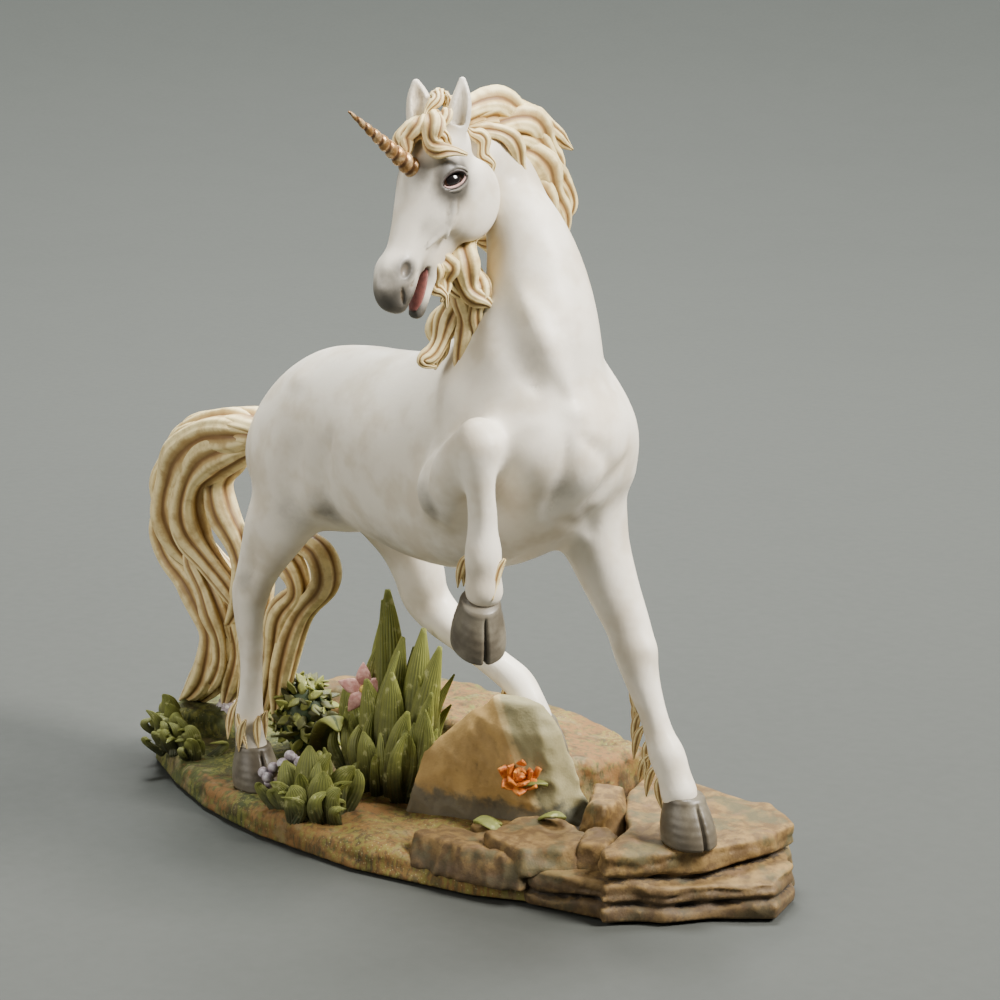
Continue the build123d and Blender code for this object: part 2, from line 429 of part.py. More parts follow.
ears = []
for root_shares in (RIGHT_EAR_SHARES, LEFT_EAR_SHARES):
    root = head_place(*root_shares)
    heights = [(root + Vector(*EAR_AIM_SHARES).normalized() * EAR_LENGTH * share) for share in EAR_RISE_SHARES]
    sizes = [(EAR_WIDTH * wide / 2, EAR_WIDTH * deep / 2) for wide, deep in EAR_SECTION_SHARES]
    ears.append(whole(cut_by(flow(heights, sizes, Vector(0, 1, 0)), head, neck)))

eyes = [Pos(head_place(*shares)) * Sphere(EYE_DIAMETER / 2) for shares in (RIGHT_EYE_SHARES, LEFT_EYE_SHARES)]
head = whole(cut_by(head, *eyes))

# Horn: turned rings that shrink towards the tip, on a wire that runs into the forehead
ring_height = HORN_LENGTH / HORN_RINGS
horn_outline = [(0, 0)]
for ring in range(HORN_RINGS):
    ring_share = 1 - ring / HORN_RINGS
    radius = (HORN_TIP_DIAMETER + (HORN_DIAMETER - HORN_TIP_DIAMETER) * ring_share) / 2
    horn_outline += [(radius, ring * ring_height), (radius * HORN_RING_SHARE, (ring + 1) * ring_height)]
horn_outline.append((0, HORN_LENGTH))
horn_base = head_place(*HORN_BASE_SHARES)
horn_aim = Vector(*HORN_AIM_SHARES).normalized()
horn_plane = Plane(origin=horn_base, z_dir=horn_aim)
horn = horn_plane * revolve(Plane.XZ * make_face(Polyline(*horn_outline, close=True)), Axis.Z)
horn_pin = rod(horn_base - horn_aim * HORN_PIN_LENGTH / 2, horn_base + horn_aim * HORN_PIN_LENGTH / 2,
               HORN_PIN_DIAMETER)
horn = whole(cut_by(horn, head, horn_pin))
head = whole(head - horn_pin)

# Legs and hooves
right_hind_leg = whole(cut_by(limb(RIGHT_HIND_LEG_SHARES), torso))
left_hind_leg = whole(cut_by(limb(LEFT_HIND_LEG_SHARES), torso))
left_fore_leg = whole(cut_by(limb(LEFT_FORE_LEG_SHARES), torso, neck))
right_cannon = limb(RIGHT_CANNON_SHARES)
right_forearm = whole(cut_by(limb(RIGHT_FOREARM_SHARES), torso, neck, right_cannon))


def hoof(sole_middle, yaw, pitch):
    """A cloven hoof over the middle of its sole: a flared block with a slit from the toe."""
    crown = Pos(-HOOF_LENGTH * CROWN_SETBACK_SHARE, 0, HOOF_HEIGHT) * Ellipse(
        HOOF_LENGTH * CROWN_LENGTH_SHARE, HOOF_WIDTH * CROWN_WIDTH_SHARE)
    sole = Ellipse(HOOF_LENGTH / 2, HOOF_WIDTH / 2)
    slit = Box(HOOF_LENGTH, CLEFT_WIDTH, 2 * HOOF_HEIGHT + SINK, align=(Align.MIN, Align.CENTER, Align.CENTER))
    block = loft([sole, crown]) - slit
    return Pos(sole_middle) * Rot(0, 0, yaw) * Rot(0, pitch, 0) * block


def standing_place(shares, height):
    """A point on the ground at a given height."""
    spot = place(*shares)
    return Vector(spot.X, spot.Y, height)


right_hind_hoof = hoof(standing_place(RIGHT_HIND_SOLE_SHARES, GROUND_HEIGHT), HOOF_YAW, 0)
left_hind_hoof = hoof(standing_place(LEFT_HIND_SOLE_SHARES, REAR_MOUND_HEIGHT), 0, 0)
left_fore_hoof = hoof(standing_place(LEFT_FORE_SOLE_SHARES, UPPER_LEDGE_HEIGHT), HOOF_YAW, 0)
right_fore_hoof = hoof(place(*RIGHT_FORE_SOLE_SHARES), RAISED_HOOF_YAW, RAISED_HOOF_PITCH)
right_hind_leg = whole(right_hind_leg - right_hind_hoof)
left_hind_leg = whole(left_hind_leg - left_hind_hoof)
left_fore_leg = whole(left_fore_leg - left_fore_hoof)
right_cannon = whole(right_cannon - right_fore_hoof)
horse = [torso, neck, head, right_hind_leg, left_hind_leg, left_fore_leg, right_forearm, right_cannon]
hooves = [right_hind_hoof, left_hind_hoof, left_fore_hoof, right_fore_hoof]

feather_tufts = []
for x, y, z in FEATHER_PLACES_SHARES:
    feather_tufts.append(limb([(x, y, z + rise, wide, deep) for rise, wide, deep in FEATHER_SECTION_SHARES]))
feathers = side_by_side(feather_tufts, *horse, *hooves, *grounds)

# Hair: each lock is cut to the face of what lies under it
mane_locks = {}
for name, rows in MANE_LOCKS_SHARES.items():
    mane_locks[name] = whole(cut_by(
        limb(rows, Vector(0, 0, 1)), neck, head, lower_jaw, torso, *ears, *mane_locks.values()))
forelocks = {}
for name, rows in FORELOCKS_SHARES.items():
    under = [head, neck, horn, *ears, *eyes, *mane_locks.values(), *forelocks.values()]
    forelocks[name] = whole(cut_by(head_form(rows), *under))
beard = whole(cut_by(head_form(BEARD_SHARES), lower_jaw, head, neck, tongue, *mane_locks.values()))
tail_locks = {}
for name, rows in TAIL_LOCKS_SHARES.items():
    under = [torso, right_hind_leg, right_hind_hoof, *grounds, *tail_locks.values()]
    tail_locks[name] = whole(cut_by(limb(rows), *under))

# Rocks, each set into the ground and round the leg that stands beside it
boulder = whole(cut_by(stone(BOULDER_RINGS_SHARES), *grounds, left_hind_leg, left_hind_hoof,
                       *feathers))
rim_stone = whole(cut_by(stone(RIM_STONE_RINGS_SHARES), *grounds))
flat_stone = whole(cut_by(stone(FLAT_STONE_RINGS_SHARES), *grounds))
front_stone = whole(cut_by(stone(FRONT_STONE_RINGS_SHARES), *grounds, boulder, flat_stone))
block_stone = whole(cut_by(stone(BLOCK_STONE_RINGS_SHARES), *grounds, front_stone))
wedge_stone = whole(cut_by(stone(WEDGE_STONE_RINGS_SHARES), *grounds, boulder, front_stone, block_stone))
rocks = [boulder, rim_stone, flat_stone, front_stone, block_stone, wedge_stone]

# Plants
bed = [*grounds, *rocks]
tall_grass = side_by_side([blade(row) for row in TALL_GRASS_SHARES], *bed, left_hind_leg)
front_tuft = side_by_side([blade(row) for row in FRONT_TUFT_SHARES], *bed, right_hind_hoof)
bank_grass = side_by_side([blade(row) for row in BANK_GRASS_SHARES], *bed)
bush_centre = place(*BUSH_SHARES[:3])
bush = ellipsoid(bush_centre, *[share * HAND for share in BUSH_SHARES[3:]])
bush = whole(cut_by(bush, *bed, *tail_locks.values(), right_hind_leg))
arched_leaf = whole(cut_by(limb(ARCHED_LEAF_SHARES), *bed, bush, *tall_grass))


def ring_flower(centre, petal_count, petal_length, petal_width, turn):
    """A flower of petals laid round its middle."""
    petals = [Sphere(petal_width * FLOWER_HEART_SHARE)]
    for number in range(petal_count):
        petal = ellipsoid(Vector(petal_length / 2, 0, 0), petal_length / 2, petal_width / 2, PETAL_THICKNESS / 2)
        petals.append(Rot(0, 0, number * FULL_TURN / petal_count) * Rot(0, -PETAL_LIFT, 0) * petal)
    return Pos(centre) * Rot(*turn) * joined(petals)


pink_lily = ring_flower(place(*LILY_PLACE_SHARES), LILY_PETALS, LILY_PETAL_LENGTH, LILY_PETAL_WIDTH, LILY_TURN)
pink_lily = whole(cut_by(pink_lily, *tall_grass, arched_leaf, bush, *bed))
yellow_flower = ring_flower(place(*YELLOW_FLOWER_SHARES), LILY_PETALS, YELLOW_FLOWER_DIAMETER / 2,
                            YELLOW_FLOWER_DIAMETER / 2, (0, 0, 0))
yellow_flower = whole(cut_by(yellow_flower, *bed))
rose_petals = [Sphere(ROSE_DIAMETER * ROSE_HEART_SHARE)]
for number in range(ROSE_PETALS):
    petal = ellipsoid(Vector(ROSE_DIAMETER * ROSE_PETAL_OUT_SHARE, 0, 0), *ROSE_PETAL_SIZES)
    rose_petals.append(Rot(0, 0, number * FULL_TURN / ROSE_PETALS) * Rot(0, PETAL_LIFT, 0) * petal)
orange_rose = Pos(place(*ROSE_PLACE_SHARES)) * Rot(*ROSE_TURN) * joined(rose_petals)
orange_rose = whole(cut_by(orange_rose, *bed))
rose_leaves = []
for x, y, z, turn in ROSE_LEAF_PLACES_SHARES:
    leaf = Pos(place(x, y, z)) * Rot(0, 0, turn) * ellipsoid(
        Vector(0, 0, 0), LEAF_LENGTH / 2, LEAF_WIDTH / 2, LEAF_THICKNESS / 2)
    rose_leaves.append(whole(cut_by(leaf, *bed, orange_rose, *rose_leaves)))
berries = side_by_side([Pos(place(*spot)) * Sphere(BUD_DIAMETER / 2) for spot in BERRY_PLACES_SHARES],
                       *bed, *front_tuft, right_hind_hoof)
lilac_blossom = side_by_side([Pos(place(*spot)) * Sphere(BUD_DIAMETER / 2) for spot in BLOSSOM_PLACES_SHARES],
                             *bed, *tail_locks.values(), *bank_grass)

# Felt pads under the base
felt_pads = [Pos(place(*spot)) * Cylinder(
    FELT_DIAMETER / 2, FELT_THICKNESS, align=(Align.CENTER, Align.CENTER, Align.MIN))
    for spot in FELT_PLACES_SHARES]

nodes = {
    "base_slab": base_slab, "lower_ledge": lower_ledge, "upper_ledge": upper_ledge,
    "rear_mound": rear_mound, "left_bank": left_bank, "boulder": boulder, "rim_stone": rim_stone,
    "flat_stone": flat_stone, "front_stone": front_stone, "block_stone": block_stone,
    "wedge_stone": wedge_stone, "tall_grass": tall_grass, "front_tuft": front_tuft,
    "bank_grass": bank_grass, "bush": bush, "arched_leaf": arched_leaf, "pink_lily": pink_lily,
    "yellow_flower": yellow_flower, "orange_rose": orange_rose, "rose_leaves": rose_leaves,
    "lilac_berries": berries, "lilac_blossom": lilac_blossom, "felt_pads": felt_pads,
    "torso": torso, "neck": neck, "head": head, "lower_jaw": lower_jaw, "tongue": tongue,
    "right_ear": ears[0], "left_ear": ears[1], "eyes": eyes, "horn": horn, "horn_pin": horn_pin,
    "right_hind_leg": right_hind_leg, "left_hind_leg": left_hind_leg, "left_fore_leg": left_fore_leg,
    "right_forearm": right_forearm, "right_cannon": right_cannon, "right_hind_hoof": right_hind_hoof,
    "left_hind_hoof": left_hind_hoof, "left_fore_hoof": left_fore_hoof,
    "right_fore_hoof": right_fore_hoof, "beard": beard,
    "fetlock_feathers": feathers, **mane_locks, **forelocks, **tail_locks}

# Wires: each is cast into the pieces that it joins
for name, wires in WIRES_SHARES.items():
    rods = [rod(place(*start), place(*end), diameter) for start, end, diameter in wires]
    for other, shape in nodes.items():
        if not isinstance(shape, list):
            for wire in rods:
                if near(nodes[other], wire):
                    nodes[other] = whole(nodes[other] - wire)
    nodes = {**nodes, name: rods}

os.makedirs("parts", exist_ok=True)
for name, shape in nodes.items():
    solids = shape if isinstance(shape, list) else [shape]
    export_step(Compound(children=[solid for item in solids for solid in item.solids()]), f"parts/{name}.step")
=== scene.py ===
"""Unicorn figurine: the looks of a painted resin horse with a spiral horn, striding over a rocky base.

Shapes are written in hands, a fifteenth of the height at the withers, in the horse's own frame: x forward,
y to its left, z up from the table, with the median plane at y = 0. Pieces are moved from there into the
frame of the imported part. Shapes that no surface of two parameters can give, such as the horse's body with
its legs, are modelled as distances on a grid of points and then meshed; all others are swept surfaces.
"""
import math

import bpy
import numpy as np
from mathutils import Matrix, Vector


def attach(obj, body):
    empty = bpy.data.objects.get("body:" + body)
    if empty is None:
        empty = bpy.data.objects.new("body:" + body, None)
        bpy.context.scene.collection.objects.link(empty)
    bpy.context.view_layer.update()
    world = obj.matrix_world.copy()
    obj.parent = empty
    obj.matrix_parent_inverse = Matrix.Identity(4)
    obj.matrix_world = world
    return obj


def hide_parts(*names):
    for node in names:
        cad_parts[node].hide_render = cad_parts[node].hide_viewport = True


bl_info = {
    "name": "Unicorn figurine",
    "version": (1, 0, 0),
    "blender": (4, 5, 0),
    "location": "View3D > Sidebar > Figurine",
    "description": "Builds the looks of the unicorn figurine around its packed parts",
    "category": "Object",
}

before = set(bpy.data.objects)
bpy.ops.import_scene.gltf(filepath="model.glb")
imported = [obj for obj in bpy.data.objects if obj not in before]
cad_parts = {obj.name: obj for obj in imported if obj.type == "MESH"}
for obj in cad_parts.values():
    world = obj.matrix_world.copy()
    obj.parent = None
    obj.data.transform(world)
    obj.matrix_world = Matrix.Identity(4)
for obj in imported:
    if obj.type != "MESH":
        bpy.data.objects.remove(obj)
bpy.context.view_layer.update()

# Modelled shapes: a distance past everything and the band of distances that is smoothed, in hands, then
# the steps of a smooth line from row to row and the share of a tube's size that rounds its ends
FAR = 50.0
BAND = 0.5
LINE_STEPS = 4
END_ROUNDING = 0.9

# Swept shapes: how far past its last row the point of a tube lies, in hands
TIP_REACH = 0.02

# Axes that aren't turned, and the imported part's origin in the horse's frame, in hands
LEVEL = np.eye(3)
ORIGIN_SHARES = (-3.4, 2.2, 0.0)

# Horse: rows of centre x, y, z, half width and half depth
TORSO_SHARES = [
    (-10, 0.1, 12.1, 0.7, 1), (-9.5, 0.1, 12.05, 1.35, 1.65), (-8.6, 0.05, 12.2, 1.8, 2.2),
    (-7.4, 0, 12.6, 2.1, 2.75), (-6, 0, 13.05, 2.25, 3.05), (-4.5, 0, 13.3, 2.25, 3),
    (-3, 0, 13.2, 2.3, 3.15), (-1.2, 0.05, 13.15, 2.45, 3.3), (0.5, 0.2, 13.25, 2.55, 3.3),
    (2, 0.4, 13.7, 2.7, 3.15), (3.3, 0.5, 14.2, 2.7, 2.5), (4, 0.5, 14.4, 2.2, 1.9)]
NECK_SHARES = [
    (0.8, 0.3, 14.2, 2.4, 3), (2.1, 0.5, 15.2, 2.45, 2.8), (2.75, 0.5, 16.6, 2.1, 2.4),
    (2.75, 0.75, 18.3, 1.65, 1.75), (2.2, 0.9, 19.9, 1.28, 1.5), (1.5, 0.85, 21.2, 0.92, 1.35),
    (1.35, 0.35, 22.1, 0.8, 1.1), (1.5, -0.5, 22.6, 0.65, 0.75)]
NECK_SIDES_SHARES = [(0, 1, 0), (0.99, 0.14, 0)]
SHOULDER_SHARES = [
    (1.8, 1.9, 16.6, 0.5, 0.9), (2.8, 2.35, 15.6, 0.75, 1.2), (3.6, 2.5, 14.4, 0.85, 1.3),
    (3.9, 2.4, 13.2, 0.8, 1.1)]
RIGHT_HIND_SHARES = [
    (-7.2, -0.9, 13.2, 1, 1.6), (-7.2, -1.15, 12.2, 1.15, 1.8), (-7.25, -1.4, 11, 1, 1.5),
    (-7.8, -1.7, 9.8, 0.8, 1.2), (-8.4, -1.88, 8.6, 0.62, 0.85), (-8.85, -1.95, 7.5, 0.53, 0.75),
    (-8.85, -2, 6.7, 0.46, 0.6), (-8.8, -2, 5.8, 0.42, 0.5), (-8.82, -2, 4.6, 0.4, 0.47),
    (-8.9, -2, 3.8, 0.44, 0.5), (-9, -2, 3.2, 0.52, 0.58), (-8.92, -2.05, 2.7, 0.5, 0.54),
    (-8.75, -2.05, 2.1, 0.56, 0.64)]
LEFT_HIND_SHARES = [
    (-6.6, 1.3, 12.6, 1.3, 1.8), (-6, 1.5, 11, 1.2, 1.5), (-5.3, 1.95, 9.5, 0.88, 1.1),
    (-5, 2.25, 8.45, 0.8, 1), (-5.05, 2.5, 7.65, 0.74, 0.92), (-4.55, 2.7, 7.05, 0.66, 0.8),
    (-3.4, 2.85, 6.45, 0.56, 0.62), (-2, 3, 5.85, 0.5, 0.55), (-0.9, 3.1, 5.4, 0.52, 0.58),
    (-0.35, 3.1, 4.95, 0.5, 0.54), (0.05, 3.1, 4.3, 0.55, 0.62)]
LEFT_FORE_SHARES = [
    (3, 1.6, 14, 1.3, 1.6), (3.3, 2.1, 12.4, 1.3, 1.3), (3.5, 2.45, 11, 1.02, 1.05),
    (4, 2.65, 9.7, 0.82, 0.88), (4.6, 2.8, 8.5, 0.66, 0.76), (4.95, 2.8, 7.7, 0.62, 0.72),
    (5.35, 2.8, 6.75, 0.5, 0.57), (5.75, 2.83, 5.85, 0.44, 0.5), (6.05, 2.87, 5.2, 0.46, 0.53),
    (6.3, 2.9, 4.75, 0.55, 0.62), (6.55, 2.95, 4.2, 0.5, 0.56), (6.8, 2.95, 3.65, 0.57, 0.64)]
FOREARM_SHARES = [
    (1.3, -1.5, 12.7, 0.9, 1.2), (2, -2.05, 12.95, 0.95, 1.1), (2.7, -2.4, 13.5, 0.84, 0.92),
    (3.4, -2.6, 14.2, 0.68, 0.72), (3.95, -2.6, 14.8, 0.56, 0.56)]
CANNON_SHARES = [
    (4.05, -2.6, 15, 0.54, 0.5), (4.15, -2.6, 14.5, 0.65, 0.63), (4.2, -2.6, 13.9, 0.58, 0.57),
    (4.23, -2.6, 13.2, 0.48, 0.48), (4.23, -2.6, 12.2, 0.46, 0.47), (4.26, -2.6, 11.5, 0.56, 0.58),
    (4.26, -2.6, 10.9, 0.52, 0.54), (4.3, -2.6, 10.35, 0.58, 0.62)]

# Muscles and bones under the skin: middle, half sizes and height of each swelling
SWELLS_SHARES = [
    ((5.45, -0.16, 15.5), (0.45, 0.45, 0.45), 0.16), ((5.5, 0.15, 13.8), (0.8, 0.9, 1), 0.22),
    ((4.9, -1.25, 14.2), (1.1, 1.1, 1.4), 0.24), ((-5, -1.9, 11.4), (1.1, 0.8, 1), 0.18),
    ((-6.1, -1.6, 15.2), (0.8, 0.6, 0.5), 0.1), ((2, -2, 15.6), (1, 0.6, 1.4), 0.14),
    ((-7.9, -2.3, 10.2), (0.7, 0.5, 1), 0.12), ((4.3, 1.9, 10.8), (0.7, 0.6, 0.9), 0.14),
    ((5.5, 2.85, 7.9), (0.4, 0.5, 0.45), 0.16), ((5.45, 2.6, 7.4), (0.3, 0.3, 0.25), 0.05),
    ((-9.45, -1.95, 7.75), (0.35, 0.35, 0.4), 0.24), ((-8.4, -2.3, 7.5), (0.35, 0.35, 0.35), 0.12),
    ((4.7, -2.6, 14.7), (0.35, 0.5, 0.45), 0.12), ((4.55, -2.95, 11.3), (0.3, 0.3, 0.3), 0.05),
    ((-2, -2.2, 13.6), (2, 0.8, 1.6), 0.08)]

# Grooves and ridges of the skin: a line of points, its width, and its height above or depth below zero
LINES_SHARES = [
    ([(5.74, -0.16, 14.79), (5.88, 0.41, 14.33), (5.85, 0.88, 13.85), (5.61, 0.91, 13.28),
      (5.37, 0.74, 12.79), (5.03, 0.27, 12.32)], 0.3, -0.17),
    ([(5.63, -0.59, 14.8), (5.48, -0.69, 13.6), (5.18, -0.68, 12.96), (4.76, -0.69, 12.3)], 0.34, -0.2),
    ([(5.45, 1.92, 13.99), (5.62, 1.13, 13.3), (5.3, 0.47, 12.7)], 0.3, -0.15),
    ([(5.31, 0.37, 12.5), (4.64, 1.18, 12.01), (4.27, 1.6, 11.43)], 0.28, -0.13),
    ([(5.2, -0.9, 12.3), (4.9, 0.2, 12), (4.5, 1.1, 11.7)], 0.24, -0.1),
    ([(5.3, -1.4, 15.1), (4.95, -2, 14.4), (4.3, -2.1, 13.3), (3.5, -1.9, 12.2)], 0.4, -0.2),
    ([(2.5, -2.7, 14.6), (2.3, -2.9, 13.7), (2.2, -2.75, 12.6), (1.6, -2.2, 11.6)], 0.3, -0.16),
    ([(1.4, -2.5, 14.5), (1.2, -2.5, 13.5), (1.1, -2.3, 12.3)], 0.35, -0.12),
    ([(-3.66, -2.3, 13.8), (-4.14, -2.26, 12.78), (-4.5, -2, 11.69), (-4.6, -1.5, 10.8)], 0.45, -0.18),
    ([(-5.31, -2.25, 13.3), (-6, -2.2, 12.2), (-6.3, -2.1, 11)], 0.6, -0.12),
    ([(3.3, -1.2, 20), (3.9, -1, 18.9), (4.5, -0.75, 17.8), (4.95, -0.4, 16.8), (5.25, -0.15, 16)],
     0.42, 0.2),
    ([(3, -1.2, 19.3), (3.4, -1.3, 18.3), (4.1, -1.3, 17.3), (4.7, -1, 16.2)], 0.6, -0.26),
    ([(-7.8, -2.6, 9.6), (-7.9, -2.45, 8.8), (-8.3, -2.4, 8.1)], 0.2, -0.16),
    ([(-8.9, -2.5, 6.6), (-8.9, -2.45, 5.4), (-8.95, -2.45, 4.1)], 0.2, -0.14),
    ([(5.2, 2.35, 6.9), (5.6, 2.4, 5.9), (5.9, 2.4, 5.3)], 0.2, -0.14),
    ([(4.3, -3.1, 13.3), (4.3, -3.1, 12.3), (4.3, -3.15, 11.7)], 0.2, -0.12)]

# Grey and brown brushed on the coat, partly its own grey and partly painted shade: middle, reach and strength
# The own grey is at the fetlocks; the painted shade is in creases, under the belly and on the neck's side
# away from the light
BODY_SHADES_SHARES = [
    ((-4.7, -1.6, 11), 0.9, 0.5), ((2, -2.6, 12.6), 0.8, 0.5), ((4.9, 0.6, 12.4), 0.7, 0.4),
    ((5.4, -0.65, 13.2), 0.6, 0.35), ((-8.4, -2.4, 8.2), 0.5, 0.35), ((-8.75, -2.1, 2.6), 0.5, 0.9),
    ((6.7, 2.95, 4), 0.5, 0.5), ((4.3, -2.6, 10.9), 0.5, 0.6), ((0, 3.1, 4.7), 0.5, 0.5),
    ((3.4, -1.6, 18.6), 0.9, 0.35), ((4.4, -1.2, 16.9), 0.8, 0.3), ((-2, -1, 10.3), 1.6, 0.35),
    ((1.5, -1, 10.2), 1.4, 0.3), ((-6.3, -1.9, 10.9), 0.8, 0.35), ((-9.6, -0.6, 12.2), 0.9, 0.4)]

# Head: its middle and its own directions, down its length, to its left, and out of its face. Rows of two
# places give down and out, then half width and half depth
HEAD_MIDDLE_SHARES = (1.9, -2.7, 21.2)
HEAD_HEADING_DEGREES = -82
HEAD_SLOPE_DEGREES = 30
SKULL_SHARES = [
    (-2, 0.2, 0.7, 0.7), (-1.5, 0.25, 0.88, 0.88), (-0.8, 0.3, 0.93, 0.9), (0, 0.22, 0.84, 0.78),
    (0.8, 0.17, 0.64, 0.7), (1.6, 0.15, 0.5, 0.64), (2.2, 0.17, 0.5, 0.7), (2.6, 0.12, 0.52, 0.66),
    (2.88, 0.03, 0.42, 0.46)]
MANDIBLE_SHARES = [
    (-0.6, -1.3, 0.5, 0.6), (0.3, -1.1, 0.45, 0.5), (1, -0.95, 0.36, 0.36), (1.8, -0.98, 0.3, 0.25),
    (2.5, -1.02, 0.29, 0.22), (2.85, -1, 0.26, 0.18)]
MOUTH_CORNER_SHARES = [(0.2, -0.6, 0.5, 0.6), (1, -0.62, 0.42, 0.42), (1.6, -0.66, 0.33, 0.25)]
CHEEK_SHARES = ((-0.8, 0.5, -0.98), (1.22, 0.5, 1.18))
ORBIT_SHARES = ((-0.78, 0.66, 0.22), (0.6, 0.42, 0.52))
FACE_SIDE_SHARES = ((-0.2, 0.55, -0.1), (1, 0.3, 0.5))
MOUTH_SHARES = [(1.6, -0.6, 0.7, 0.07), (2.2, -0.68, 0.7, 0.17), (3.2, -0.7, 0.7, 0.2)]
NOSTRIL_SHARES = ((2.1, 0.66, 0.46), (0.3, 0.26, 0.19))
LEFT_EAR_SHARES = [
    (-1.8, 0.45, 0.5, 0.3, 0.26), (-2.5, 0.52, 0.62, 0.36, 0.26), (-3.1, 0.55, 0.8, 0.28, 0.2),
    (-3.6, 0.5, 0.98, 0.1, 0.09)]
RIGHT_EAR_SHARES = [
    (-1.7, -0.5, 0.6, 0.34, 0.28), (-2.35, -0.65, 0.85, 0.42, 0.28), (-2.9, -0.8, 1.1, 0.34, 0.22),
    (-3.3, -0.9, 1.33, 0.12, 0.1)]
EAR_SIDE_SHARES = (0.6, 0.8, 0.1)
EAR_HOLLOW_SHARES = (0.1, 0.12, 0.08)
EYE_SHARES = (-0.78, 0.8, 0.25)
EYE_OUTWARD_SHARES = (0, 0.85, 0.5)
EYE_LID_SHARES = (0.39, 0.225)
EYE_TILT_DEGREES = 50
EYE_SET_BACK_SHARE = 0.14
SOCKET_PLACE_SHARE = 0.2
SOCKET_DEPTH_SHARE = 0.32

# Rims of skin round an eye: first and last angle in degrees, lift, thickness and how far outside it is
LIDS_SHARES = {
    "upper_line": (-14, 186, 0.24, 0.05, -0.01), "lower_line": (184, 362, 0.23, 0.022, 0.01),
    "lower_rim": (186, 356, 0.2, 0.04, -0.035), "fold": (5, 180, 0.2, 0.075, 0.09),
    "bag": (190, 350, 0.19, 0.055, 0.07)}
HORN_FOOT_SHARES = (-0.69, 0, 0.95)
HORN_TIP_SHARES = (-0.9, 0, 4.05)
HEAD_SWELLS_SHARES = [
    ((2.1, 0.42, 0.38), (0.48, 0.3, 0.42), 0.25), ((2.1, -0.42, 0.38), (0.48, 0.3, 0.42), 0.25),
    ((3, 0, -0.3), (0.3, 0.5, 0.28), 0.13), ((2.55, 0.45, -0.1), (0.4, 0.2, 0.2), 0.07),
    ((2.6, 0.3, 0.75), (0.35, 0.35, 0.2), -0.1), ((2.5, 0, 0.75), (0.4, 0.14, 0.2), -0.04),
    ((0, 0.8, -0.3), (0.9, 0.3, 0.3), 0.06), ((0.9, 0.5, 0.4), (0.8, 0.2, 0.25), -0.05),
    ((2.75, 0, -1.2), (0.3, 0.3, 0.2), 0.08), ((-1.45, 0.8, 0.6), (0.3, 0.25, 0.3), -0.08)]
HEAD_LINES_SHARES = [
    ([(-0.35, 0.95, 0.1), (0, 0.9, -0.1), (0.4, 0.78, -0.25)], 0.08, 0.26),
    ([(0.4, 0.78, -0.25), (0.8, 0.62, -0.12), (1.2, 0.56, 0)], 0.07, 0.2),
    ([(0.4, 0.78, -0.25), (0.65, 0.65, -0.5), (0.8, 0.6, -0.65)], 0.08, 0.14),
    ([(0.4, 0.75, -0.65), (1, 0.55, -0.62), (1.7, 0.42, -0.6)], 0.14, -0.09),
    ([(2.45, 0.5, 0.05), (2.2, 0.55, -0.1), (1.8, 0.52, -0.05)], 0.1, -0.1),
    ([(2.6, 0.48, 0.3), (2.8, 0.4, 0.1), (2.95, 0.3, -0.15)], 0.08, -0.09)]
# Grey brushed on the head: the coat's own grey round muzzle and eyes, and painted shade in the nostrils,
# under chin and jaw and at the mouth's corners
HEAD_SHADES_SHARES = [
    ((2.95, 0, -0.05), 0.95, 1.1), ((2.1, 0.66, 0.42), 0.5, 0.85), ((2.9, 0, -1), 0.6, 1),
    ((-0.78, 0.95, 0.3), 0.72, 1.2),
    ((-0.78, -0.95, 0.3), 0.72, 1.2), ((-0.3, 0.95, 0.1), 0.55, 0.6), ((0.4, 0.8, -0.05), 0.7, 0.3),
    ((0.6, 0.7, -0.75), 0.35, 0.5), ((-2.6, 0.75, 0.8), 0.4, 0.5), ((1.8, 0.5, -0.5), 0.5, 0.7),
    ((-0.6, 0.4, 1), 0.55, 0.6), ((0.45, 0.6, -1.25), 0.4, 0.5)]
TONGUE_SHARES = [
    (1.4, -0.64, 0.2, 0.08), (2, -0.78, 0.27, 0.09), (2.5, -0.85, 0.26, 0.08), (2.8, -0.88, 0.14, 0.05)]

# Hooves: middle of the sole, yaw and pitch in degrees
HOOVES_SHARES = {
    "right_hind_hoof": ((-8.5, -2.05, 0.95), -12, 0), "left_hind_hoof": ((0.45, 3.05, 3.05), 0, 0),
    "left_fore_hoof": ((7.2, 3, 2.22), -12, 0), "right_fore_hoof": ((4, -2.6, 8.7), -25, 25)}

